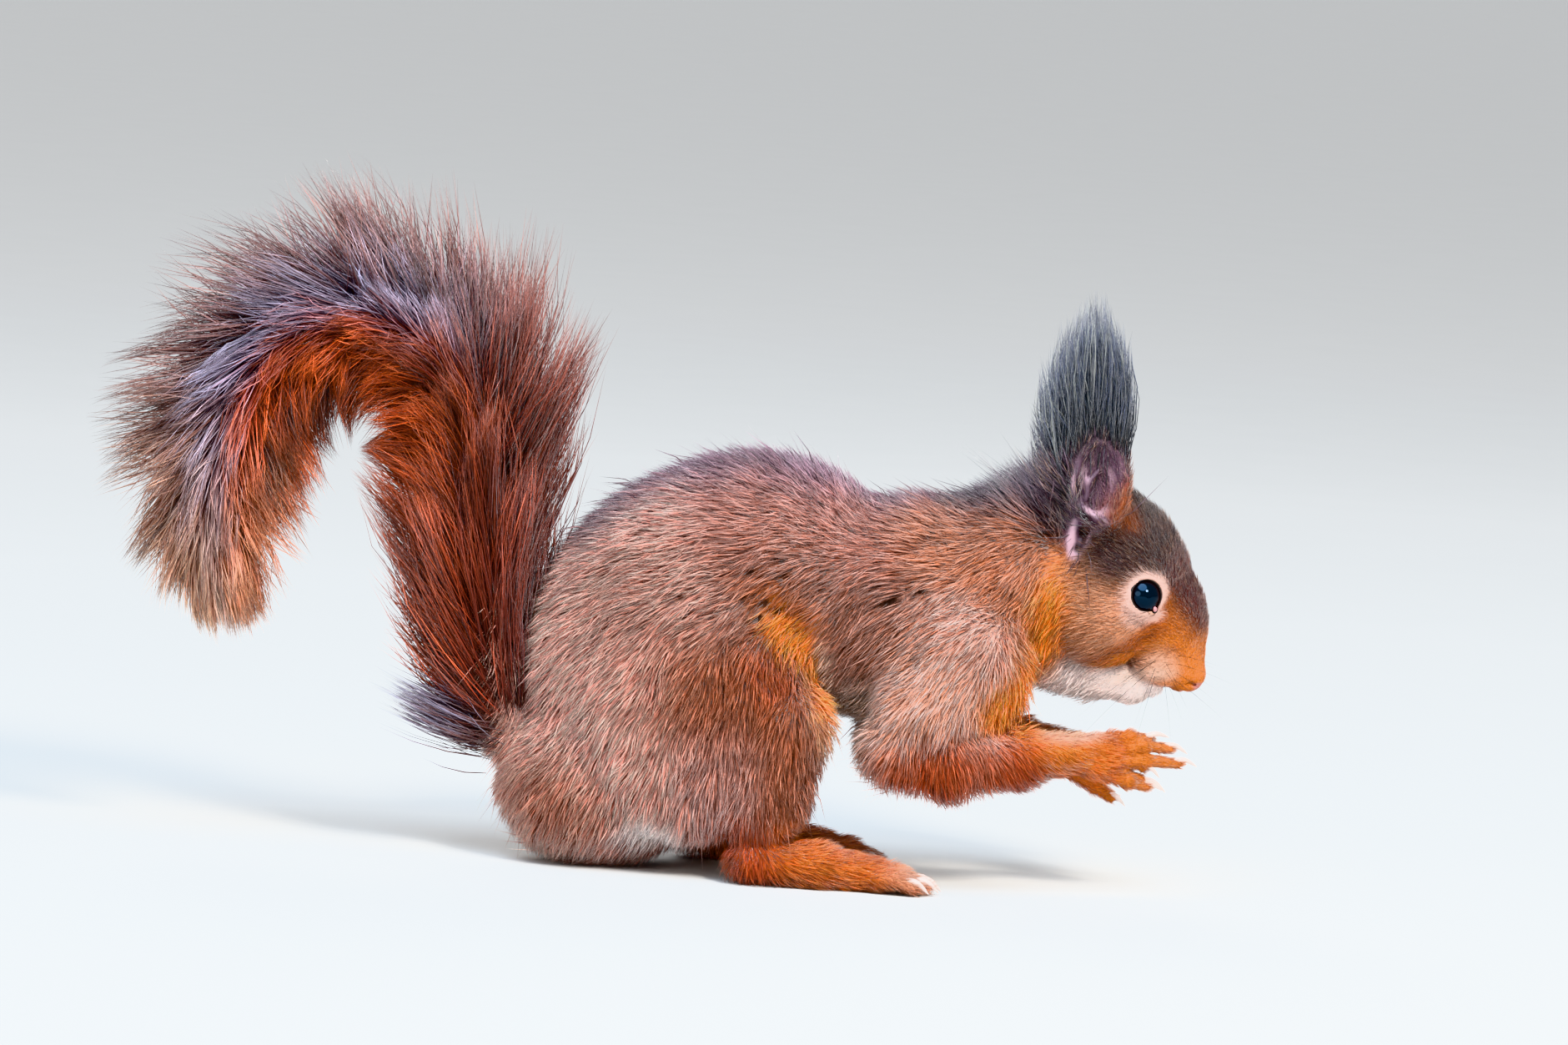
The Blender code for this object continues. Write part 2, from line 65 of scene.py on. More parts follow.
# Balls: centre, half-axes along, across and up, pitch in degrees nose down, and how softly they blend in.
TRUNK_BALLS = [
    ((-2.5, 0, 56), (28.5, 24, 38), 16, 6),
    ((-14, 0, 22), (24, 21.5, 20.5), 0, 8),
    ((22, 0, 72), (35, 24.5, 30), 3, 8),
    ((58, 0, 67), (30, 20.5, 25.5), 4, 8),
    ((92, 0, 64), (12, 11, 9), 10, 5),
    ((92, 0, 87), (10, 9.5, 9.5), 0, 5),
]
CRANIUM = ((109, 0, 83), (21, 14.5, 16.5), 47, 3)
SHOULDER = ((72, 15, 56), (17, 9, 20), 0, 5)
FACE_BALLS = [
    ((106, 8.5, 68.5), (12, 8, 9.5), 30, 4),
    ((117.5, 8, 78.5), (7.4, 5.0, 6.6), 45, 3),
    ((122.5, 4.2, 59), (6.8, 4.2, 5.4), 35, 1.6),
]
HAUNCH = ((9, 19, 44), (27, 12.5, 33), -4, 5)
NOSE = ((130.6, 0, 55.6), (2.9, 3.2, 2.7), 30, 1.6)

# Limbs: stations of x, y, z and radius, the ratio of width to height, and the blend.
NECK = ([(66, 0, 74, 20), (82, 0, 77, 17.5), (98, 0, 78, 16)], 0.92, 6)
MUZZLE = ([(113, 0, 78, 14.4), (122.5, 0, 69, 10.6), (129.0, 0, 56.8, 5.2)], 0.92, 3)
BRIDGE = ([(116.5, 0, 89.5, 6.0), (120.5, 0, 82.8, 6.1), (124.9, 0, 74.7, 6.1), (126.6, 0, 68.0, 5.6),
           (127.6, 0, 61.0, 4.8)], 0.9, 3)
NOSE_CLEFT = ([(133.2, 0, 54.6, 0.3), (129.5, 0, 51.9, 0.35)], 1, 0.6)
NOSTRIL = ([(132.4, 1.9, 53.9, 0.45), (130.6, 3.4, 54.4, 0.6), (129.2, 3.7, 54.0, 0.35)], 1, 0.4)
LIP_LINE = ([(129.4, 0.8, 51.8, 0.4), (126.4, 3.6, 52.4, 0.5), (120.0, 5.4, 53.6, 0.5),
             (111.0, 7.4, 56.0, 0.35)], 1, 0.7)
JAW = ([(98, 0, 60, 8.5), (107, 0, 56.2, 6.6), (116, 0, 53.2, 4.6), (121, 0, 53.4, 3.0)], 0.95, 1.6)
UPPER_ARM = ([(74, 17, 60, 11.5), (66, 19, 46, 10), (60, 19, 36, 7.5)], 0.9, 4)
ELBOW = [(59, 19, 35.5, 7.5), (72, 19, 33.5, 7.5), (88, 16, 34.5, 5.8)]
SHANK = ([(31, 23, 40, 9.5), (27, 23, 22, 8), (25, 23, 10, 5)], 0.85, 5)
FOOT_LINE = ([(24, 23.5, 6.2, 5.0), (40, 24, 5.6, 4.6), (54, 24, 4.2, 3.8)], 1.2, 2)
WRIST = {"right": (102, 12.5, 36), "left": (97, 12.5, 35)}
WRIST_RADIUS = 4.2
HAND_PITCH = {"right": 0, "left": 15}
FOOT_SHIFT = {"right": 0, "left": -13}

PALM = ((6.0, -0.8, -0.4), (6.8, 3.2, 5.4))
FINGERS = [  # base, knuckle, tip and claw tip, as offsets forward, outward and up from the wrist
    [(9.0, -2.0, 3.3), (14.0, -1.7, 4.6), (18.7, -3.0, 4.3), (23.9, -4.2, 5.0)],
    [(9.5, -1.0, 1.0), (17.0, -0.3, 2.9), (24.0, -2.5, 2.4), (28.7, -3.7, 1.2)],
    [(9.7, -0.7, -1.7), (18.0, 0.0, -0.6), (26.3, -2.2, -1.2), (31.2, -3.5, -1.8)],
    [(7.8, -1.3, -4.8), (14.0, -0.7, -6.1), (18.8, -2.7, -7.4), (22.8, -4.0, -8.3)],
]
THUMB = [(5.5, -3.6, 2.6), (9.5, -5.0, 3.8), (12.0, -5.6, 4.0)]
FINGER_RADIUS = 1.5
KNUCKLE = 0.3
TOE_SPREAD = [-5.4, -2.8, 0, 2.8, 5.2]
TOE_LENGTH = [8.0, 12.2, 13.2, 12.6, 10.0]
TOE_ROOT = (54, 24, 4.0)
TOE_RADIUS = 1.85
TOE_CLAW_LENGTH = 4.2

EYE_CENTRE = (116.9, 11.4, 76.3)
EYE_RADIUS = 4.75
EYE_AXIS = (0.28, 0.95, 0.10)
EYE_OPENING = 3.8
EYE_ROOM = 0.05
EYE_CORNER = (2.5, 0, -3.3)  # from the eye's centre
LID_DEPTH = 1.0

# Ear: outer shell and the cup that faces out of it.
PINNA = ((103, 14.2, 103.5), (8.8, 3.4, 15.5))
EAR_CUP = ((103.8, 18.0, 102.5), (6.6, 4.6, 11.8))
EAR_ROOT = ([(101, 11.5, 86, 6.0), (102, 13, 94, 7.0)], 0.55, 3)
EAR_RIDGES = [
    [(98.4, 15.0, 98.0, 0.8), (97.4, 15.8, 103.0, 0.9), (99.0, 16.0, 108.5, 0.6)],
    [(101.2, 14.6, 99.5, 0.6), (101.6, 14.6, 104.0, 0.8), (104.0, 14.6, 107.0, 0.5)],
    [(110.4, 15.4, 98.5, 0.7), (111.2, 16.0, 105.5, 0.6), (108.4, 16.2, 112.0, 0.5)],
    [(100.6, 15.4, 97.6, 0.8), (103.6, 15.0, 95.2, 1.1), (107.6, 14.6, 93.5, 1.3)],
    [(98.0, 14.6, 93.0, 1.4), (97.0, 14.6, 88.5, 1.5), (97.8, 14.2, 85.0, 1.2)],
]
EAR_CHANNELS = [
    ([(102.0, 16.4, 95.0, 0.9), (100.9, 16.0, 91.0, 1.5), (99.8, 15.6, 86.8, 1.0)], 0.6),
    ([(101.4, 16, 92, 1.3), (101.0, 10, 90, 1.0)], 0.5),
]

TAIL_STEPS = 40
# Tail, root to tip: the bone's line (x, z, radius), then the bush's inner and outer edge and half width.
TAIL_BONE = [(-24, 26, 8), (-38, 34, 6.5), (-44, 54, 5.2), (-47, 76, 4.8), (-49, 96, 4.6), (-54, 115, 4.4),
             (-66, 128, 4.2), (-82, 133, 4.0), (-97, 129, 3.8), (-107, 118, 3.5), (-112, 104, 3.2),
             (-115, 88, 2.8), (-116, 74, 2.2)]
TAIL_BUSH = [
    ((-45, 29), (-36, 34), 7),
    ((-66, 46), (-35, 57), 14),
    ((-75, 77), (-27, 89), 19),
    ((-77, 93), (-20, 114), 23),
    ((-77, 101), (-21, 137), 26),
    ((-78, 104), (-38, 157), 26),
    ((-81, 105), (-65, 167), 26),
    ((-83, 105), (-92, 170), 26),
    ((-85, 103), (-122, 156), 26),
    ((-86, 98), (-140, 128), 25),
    ((-87, 91), (-143, 106), 23),
    ((-90, 77), (-140, 81), 20),
    ((-94, 65), (-133, 63), 15),
    ((-100, 55), (-120, 54), 7),
    ((-103, 50), (-115, 49), 3),
]


# ---------------------------------------------------------------- colours and sizes a user may change

def linear(channel):
    return channel / 12.92 if channel <= 0.04045 else ((channel + 0.055) / 1.055) ** 2.4


def hex_colour(text):
    return tuple(linear(int(text[i:i + 2], 16) / 255) for i in (0, 2, 4))


def colour(name, description, text):
    return FloatVectorProperty(name=name, description=description, subtype="COLOR", size=3,
                               min=0, max=1, default=hex_colour(text))


def length(name, description, millimetres, largest):
    return FloatProperty(name=name, description=description + ", in millimetres", min=0.01,
                         max=largest, default=millimetres)


def number(name, description, count, most):
    return IntProperty(name=name, description=description, min=50, max=most, default=count)


# Coats: what each is called, and its colours near the roots and at the hair tips.
COATS = {
    "spine": ("Spine", "583D46", "AD8698"),
    "back": ("Back", "955440", "F1BBAD"),
    "rump": ("Rump", "CE8171", "F6F5E2"),
    "flank": ("Flank", "824C37", "CCA498"),
    "thigh": ("Thigh", "834126", "D89172"),
    "shank": ("Shank", "B16F5C", "F6DBD7"),
    "shoulder": ("Shoulder", "BE6F52", "F6F4EC"),
    "arm": ("Upper arm", "D78A65", "F6F6F6"),
    "forearm": ("Forearm", "963510", "D87646"),
    "neck": ("Neck", "A35B37", "EAB39D"),
    "gold": ("Knee and throat", "E0680A", "FFD468"),
    "foot": ("Foot and hand", "AC4604", "F29E54"),
    # Belly cream, also painted as rim light along the knee's front and the forearm's top.
    "cream": ("Belly", "E1BFAB", "F3EBE0"),
    "chin": ("Chin", "FBE4DC", "F3F3F3"),
    "nape": ("Nape", "2A1D24", "6E5863"),
    "crown": ("Crown", "2B130F", "513731"),
    "forehead": ("Forehead", "390D07", "62271C"),
    "cheek": ("Cheek", "A25F3C", "E6B796"),
    "face": ("Rust below the eye", "8A3D0D", "C26E32"),
    "muzzle": ("Muzzle", "AD581B", "D88B42"),
    "pad": ("Whisker pad", "E2AD91", "F3E0CD"),
    "eye_ring": ("Eye ring", "DCAE9E", "F3D6C8"),
    "ear_fur": ("Ear", "422A33", "876274"),
    "ear_front": ("Front of the ear", "692D11", "B0612F"),
    "ear_tuft": ("Ear tuft", "0F121D", "4D5167"),
    # Parting: dark roots in the coat's partings; the same dark is painted as shade in the ear's hollows.
    "parting": ("Parting", "1E120E", "4A2E24"),
    "tail_red": ("Inside of the tail", "7C2B0E", "C65F2E"),
    "tail_brown": ("Outside of the tail", "4F1C12", "974D37"),
    "tail_mauve": ("Outer tail", "593632", "B6897D"),
    # Grey of the tail's hairs, also laid along the bone line as a painted sheen.
    "tail_grey": ("Bone line of the tail", "5B586C", "B5B5D3"),
    # Painted shadow in the inner bend of the tail.
    "tail_dark": ("Bend of the tail", "230E0A", "623528"),
    "tail_end": ("End of the tail", "A06A54", "F6C99E"),
}
# Bare parts: what each is, and its colour.
BARE_PARTS = {
    "flesh": ("Flesh", "Pink bare skin of the nose, lips, lids and pads", "A8685E"),
    "ear_skin": ("Ear skin", "Grey-mauve bare skin inside the ear", "4C3A46"),
    # Pale folds of the ear: paler skin, partly a painted highlight.
    "ear_rim": ("Ear rim", "Pale folds of the ear", "AE8C97"),
    "claw": ("Claw", "Pinkish ivory of the claws", "F2DED4"),
    "whisker": ("Whisker", "Black of the whiskers", "14110F"),
    "backdrop": ("Backdrop", "Pale studio floor", "C6C5C2"),
}


def colour_properties():
    """Every colour as a property, in the order of the tables."""
    made = {}
    for key, (name, root, tip) in COATS.items():
        made[key] = colour(name, name + " near the roots", root)
        made[key + "_tip"] = colour(name + " tips", name + " at the hair tips", tip)
    for key, (name, description, text) in BARE_PARTS.items():
        made[key] = colour(name, description, text)
    return made


class SquirrelColours(bpy.types.PropertyGroup):
    """The colours of the coat and of the bare parts."""

    __annotations__ = colour_properties()


class SquirrelSizes(bpy.types.PropertyGroup):
    """The sizes and counts of what the skin and coat are made of."""

    fine_cell: length("Fine cell", "Edge of the skin's cells on the head, hands and feet", 0.52, 5)
    coarse_cell: length("Coarse cell", "Edge of the skin's cells on the body", 1.9, 5)
    hair_width: length("Tuft width", "Width of a tuft on the body", 0.29, 3)
    tail_hair_width: length("Tail tuft width", "Width of a tuft on the tail", 0.30, 3)
    whisker_radius: length("Whisker radius", "Radius of a whisker at its root", 0.065, 1)
    whisker_length: length("Whisker length", "Length of the longest whiskers", 30, 80)
    coat_count: number("Guard tufts", "Number of bent tufts on the body", 52000, 60000)
    undercoat_count: number("Undercoat tufts", "Number of fine straight tufts on the body", 112000, 130000)
    tail_count: number("Tail tufts", "Number of tufts on the tail", 25500, 36000)
    ear_count: number("Ear tufts", "Number of long tufts on each ear", 2000, 4000)


def colours():
    return bpy.context.scene.squirrel_colours


def sizes():
    return bpy.context.scene.squirrel_sizes


# ---------------------------------------------------------------- small maths

def unit(vectors):
    return vectors / np.maximum(np.linalg.norm(vectors, axis=-1, keepdims=True), 1e-9)


def smoothstep(low, high, value):
    t = np.clip((value - low) / (high - low), 0, 1)
    return t * t * (3 - 2 * t)


def soft_min(a, b, blend):
    h = np.clip(0.5 + 0.5 * (b - a) / blend, 0, 1)
    return b * (1 - h) + a * h - blend * h * (1 - h)


def mix(one, other, share):
    return one * (1 - share) + other * share


def flattened(vectors, normals):
    """Unit vectors with what points along the normals taken out."""
    return unit(vectors - normals * (vectors * normals).sum(axis=1, keepdims=True))


def upright(x, z):
    """Points in the animal's middle plane."""
    return np.stack([x, np.zeros(len(x)), z], axis=1)


def on_side(point, side):
    """A point of the left side, or its mirror image on the right."""
    return (point[0], point[1] * SIDES[side], *point[2:])


def all_on_side(points, side):
    return [on_side(point, side) for point in points]


def eye_place(side):
    """The eyeball's centre and the way it looks."""
    return np.array(on_side(EYE_CENTRE, side)), unit(np.array(on_side(EYE_AXIS, side)))


def fewer(count):
    return count


def pitched(point, degrees):
    c, s = math.cos(math.radians(degrees)), math.sin(math.radians(degrees))
    return (point[0] * c + point[2] * s, point[1], point[2] * c - point[0] * s)


def ball_depth(points, centre, half_axes, pitch):
    """Place of each point in an ellipsoid, as 1 on its surface, and about its distance in mm."""
    c, s = math.cos(math.radians(pitch)), math.sin(math.radians(pitch))
    x, y, z = (points[axis] - centre[axis] for axis in range(3))
    along, up = x * c - z * s, x * s + z * c
    a, b, h = half_axes
    reach = np.sqrt((along / a) ** 2 + (y / b) ** 2 + (up / h) ** 2)
    slope = np.sqrt((along / a ** 2) ** 2 + (y / b ** 2) ** 2 + (up / h ** 2) ** 2)
    return reach, reach * (reach - 1) / np.maximum(slope, 1e-6)


def curve_through(stations, places):
    """Values on the smooth curve through the stations, at places counted in stations."""
    stations = np.asarray(stations, float)
    last = len(stations) - 1
    places = np.clip(places, 0, last)
    index = np.minimum(places.astype(int), last - 1)
    t = (places - index)[:, None]
    before, start, end, after = (stations[np.clip(index + step, 0, last)] for step in (-1, 0, 1, 2))
    return (start * (2 * t ** 3 - 3 * t ** 2 + 1) + (end - before) / 2 * (t ** 3 - 2 * t ** 2 + t)
            + end * (3 * t ** 2 - 2 * t ** 3) + (after - start) / 2 * (t ** 3 - t ** 2))


# ---------------------------------------------------------------- clay: a field of distances

FAR = 50  # distance before any form is added
CLAY_MARGIN = 5  # how far round a form its distances are worked out, beyond its blend


class Clay:
    """Distances to a growing form, in mm, on a grid of points. Negative inside."""

    def __init__(self, axes):
        self.axes = [np.asarray(axis, np.float32) for axis in axes]
        self.field = np.full([len(axis) for axis in self.axes], FAR, np.float32)

    def _window(self, low, high, margin):
        parts = []
        for axis, first, last in zip(self.axes, low, high):
            start = int(np.searchsorted(axis, first - margin))
            stop = int(np.searchsorted(axis, last + margin))
            parts.append(slice(start, max(stop, start)))
        return tuple(parts)

    def _apply(self, low, high, blend, distance, carve):
        window = self._window(low, high, blend + CLAY_MARGIN)
        block = self.field[window]
        if not block.size:
            return
        sides = [axis[part] for axis, part in zip(self.axes, window)]
        points = np.meshgrid(*sides, indexing="ij", sparse=True)
        form = distance(points).astype(np.float32)
        if carve:
            self.field[window] = -soft_min(-block, form, blend)
        else:
            self.field[window] = soft_min(block, form, blend)

    def ball(self, centre, half_axes, pitch, blend, carve=False):
        reach = max(half_axes)
        low = [value - reach for value in centre]
        high = [value + reach for value in centre]
        self._apply(low, high, blend, lambda p: ball_depth(p, centre, half_axes, pitch)[1], carve)

    def limb(self, stations, width, blend, carve=False):
        for start, end in zip(stations, stations[1:]):
            self._segment(start, end, width, blend, carve)

    def _segment(self, start, end, width, blend, carve):
        a, b = np.array(start[:3], float), np.array(end[:3], float)
        radius = max(start[3], end[3]) * max(width, 1)
        along = b - a

        def distance(p):
            t = sum((p[axis] - a[axis]) * along[axis] for axis in range(3)) / (along @ along)
            t = np.clip(t, 0, 1)
            squares = [((p[axis] - a[axis] - t * along[axis]) / (width if axis == 1 else 1)) ** 2
                       for axis in range(3)]
            return np.sqrt(squares[0] + squares[1] + squares[2]) - (start[3] + (end[3] - start[3]) * t)
        self._apply(np.minimum(a, b) - radius, np.maximum(a, b) + radius, blend, distance, carve)

    def surface(self):
        """Points and four-sided faces of the zero surface, by surface nets."""
        inside = self.field < 0
        shape = np.array(self.field.shape) - 1
        corners, places = [], []
        for axis in range(3):
            ahead = tuple(slice(1, None) if k == axis else slice(None) for k in range(3))
            behind = tuple(slice(None, -1) if k == axis else slice(None) for k in range(3))
            crossing = np.argwhere(inside[ahead] != inside[behind])
            others = [(axis + 1) % 3, (axis + 2) % 3]
            keep = np.all((crossing[:, others] > 0) & (crossing[:, others] < shape[others]), axis=1)
            crossing = crossing[keep]
            step = np.zeros(3, int)
            step[axis] = 1
            near = self.field[tuple(crossing.T)]
            far = self.field[tuple((crossing + step).T)]
            place = np.stack([self.axes[k][crossing[:, k]] for k in range(3)], axis=1)
            span = self.axes[axis][crossing[:, axis] + 1] - self.axes[axis][crossing[:, axis]]
            place[:, axis] += span * near / (near - far)
            ring = []
            for first, second in ((1, 1), (0, 1), (0, 0), (1, 0)):
                cell = crossing.copy()
                cell[:, others[0]] -= first
                cell[:, others[1]] -= second
                ring.append((cell[:, 0] * shape[1] + cell[:, 1]) * shape[2] + cell[:, 2])
            ring = np.stack(ring, axis=1)
            inward = near > 0
            ring[inward] = ring[inward][:, ::-1]
            corners.append(ring)
            places.append(place)
        corners = np.concatenate(corners)
        places = np.repeat(np.concatenate(places), 4, axis=0)
        cells, faces = np.unique(corners.ravel(), return_inverse=True)
        counts = np.bincount(faces, minlength=len(cells))
        points = np.stack([np.bincount(faces, places[:, k], len(cells)) / counts for k in range(3)], axis=1)
        return points, faces.reshape(-1, 4)


def stretches(*parts):
    """An axis of places from (end, spacing) stretches that follow one another."""
    places = [parts[0]]
    for end, spacing in parts[1:]:
        count = max(1, round((end - places[-1]) / spacing))
        places.extend(np.linspace(places[-1], end, count + 1)[1:])
    return places


# ---------------------------------------------------------------- shaping the skin

def hand_point(offset, side):
    x, y, z = WRIST[side]
    dx, dy, dz = pitched(offset, HAND_PITCH[side])
    return on_side((x + dx, y + dy, z + dz), side)


def toe_points(index, side):
    """Root, bend, tip and claw tip of one toe."""
    x, y, z = TOE_ROOT
    x += FOOT_SHIFT[side]
    spread, reach = TOE_SPREAD[index], TOE_LENGTH[index]
    return [on_side(point, side) for point in (
        (x, y + 0.8 * spread, z - 0.2),
        (x + 0.55 * reach, y + 1.05 * spread, z + 0.2),
        (x + reach, y + 1.2 * spread, z - 1.6),
        (x + reach + TOE_CLAW_LENGTH, y + 1.25 * spread, 1.0),
    )]


def side_ball(clay, ball, side, shift=0):
    """One of a pair of balls, moved forward by the shift."""
    (x, y, z), half_axes, pitch, blend = ball
    clay.ball(on_side((x + shift, y, z), side), half_axes, pitch, blend)


def side_limb(clay, limb, side, carve=False):
    stations, width, blend = limb
    clay.limb(all_on_side(stations, side), width, blend, carve)


def shape_body(clay):
    for ball in TRUNK_BALLS:
        clay.ball(*ball)
    clay.limb(*NECK)
    for side in SIDES:
        shift = FOOT_SHIFT[side]
        side_ball(clay, HAUNCH, side, shift / 2)
        side_ball(clay, SHOULDER, side)
        side_limb(clay, UPPER_ARM, side)
        forearm = all_on_side(ELBOW, side) + [(*on_side(WRIST[side], side), WRIST_RADIUS)]
        clay.limb(forearm, 0.9, 3)
        stations, width, blend = SHANK
        shank = [on_side((x + shift * share, y, z, radius), side)
                 for (x, y, z, radius), share in zip(stations, (0.5, 0.8, 1.0))]
        clay.limb(shank, width, blend)


def shape_head(clay):
    clay.ball(*CRANIUM)
    clay.limb(*MUZZLE)
    clay.limb(*BRIDGE)
    for side in SIDES:
        for ball in FACE_BALLS:
            side_ball(clay, ball, side)
    clay.limb(*JAW)
    clay.ball(*NOSE)
    clay.limb(*NOSE_CLEFT, carve=True)
    for side in SIDES:
        for groove in (NOSTRIL, LIP_LINE):
            side_limb(clay, groove, side, carve=True)
        shape_eye_socket(clay, side)
        shape_ear(clay, side)


def shape_eye_socket(clay, side):
    """Lids hug the eyeball and open in a round, a little longer towards the nose."""
    centre, axis = eye_place(side)
    clay.ball(tuple(centre), (EYE_RADIUS + LID_DEPTH,) * 3, 0, 2.2)
    clay.ball(tuple(centre), (EYE_RADIUS + EYE_ROOM,) * 3, 0, 0.2, carve=True)
    opening = [(*(centre + axis * 2.0), EYE_OPENING), (*(centre + axis * 9.0), EYE_OPENING + 0.8)]
    clay.limb(opening, 1, 0.5, carve=True)
    corner = centre + EYE_CORNER
    clay.limb([(*(corner + axis * 1.4), 0.9), (*(corner + axis * 6.0), 1.2)], 1, 0.4, carve=True)


def shape_ear(clay, side):
    side_limb(clay, EAR_ROOT, side)
    centre, half_axes = PINNA
    clay.ball(on_side(centre, side), half_axes, 0, 1.5)
    centre, half_axes = EAR_CUP
    clay.ball(on_side(centre, side), half_axes, 0, 0.7, carve=True)
    for ridge in EAR_RIDGES:
        clay.limb(all_on_side(ridge, side), 1, 0.9)
    for channel, blend in EAR_CHANNELS:
        clay.limb(all_on_side(channel, side), 1, blend, carve=True)


def shape_digit(clay, places, radius, blend):
    """A finger or toe of two lengths, narrower at its tip."""
    clay.limb([(*place, radius * share) for place, share in zip(places, (1, 1, 0.8))], 1, blend)


def shape_hands(clay):
    for side in SIDES:
        centre, half_axes = PALM
        clay.ball(hand_point(centre, side), half_axes, HAND_PITCH[side], 2)
        for finger in FINGERS:
            places = [hand_point(offset, side) for offset in finger[:3]]
            shape_digit(clay, places, FINGER_RADIUS, 0.7)
            clay.ball(places[1], (FINGER_RADIUS + KNUCKLE,) * 3, 0, 0.8)
        clay.limb([(*hand_point(offset, side), FINGER_RADIUS) for offset in THUMB], 1, 0.8)


def shape_feet(clay):
    for side in SIDES:
        stations, width, blend = FOOT_LINE
        shifted = [(x + FOOT_SHIFT[side], y, z, radius) for x, y, z, radius in stations]
        clay.limb(all_on_side(shifted, side), width, blend)
        for index in range(len(TOE_SPREAD)):
            shape_digit(clay, toe_points(index, side)[:3], TOE_RADIUS, 0.8)


def shape_tail(clay):
    """The tail's bone and flesh, under the bush."""
    line = curve_through(TAIL_BONE, np.linspace(0, len(TAIL_BONE) - 1, TAIL_STEPS))
    clay.limb([(x, 0, z, radius) for x, z, radius in line], 1, 2)


def skin_surface():
    """Points and faces of the whole skin, in mm."""
    fine, coarse = sizes().fine_cell, sizes().coarse_cell
    middle, small = 2.35 * fine, 1.28 * fine
    axes = (
        stretches(-122, (-44, 1.5 * coarse), (44, coarse), (92, middle), (137, fine)),
        stretches(-38, (-31, coarse), (-20, middle), (20, small), (31, middle), (38, coarse)),
        stretches(0.35, (12, 1.45 * fine), (48, 1.75 * fine), (120, small), (141, 1.5 * coarse)),
    )
    clay = Clay(axes)
    for shape in (shape_body, shape_tail, shape_feet, shape_hands, shape_head):
        shape(clay)
    # Nothing reaches the lowest layer, so the skin closes in small flats just over the floor.
    clay.field[:, :, 0] = np.maximum(clay.field[:, :, 0], 0.2)
    return clay.surface()


# ---------------------------------------------------------------- markings

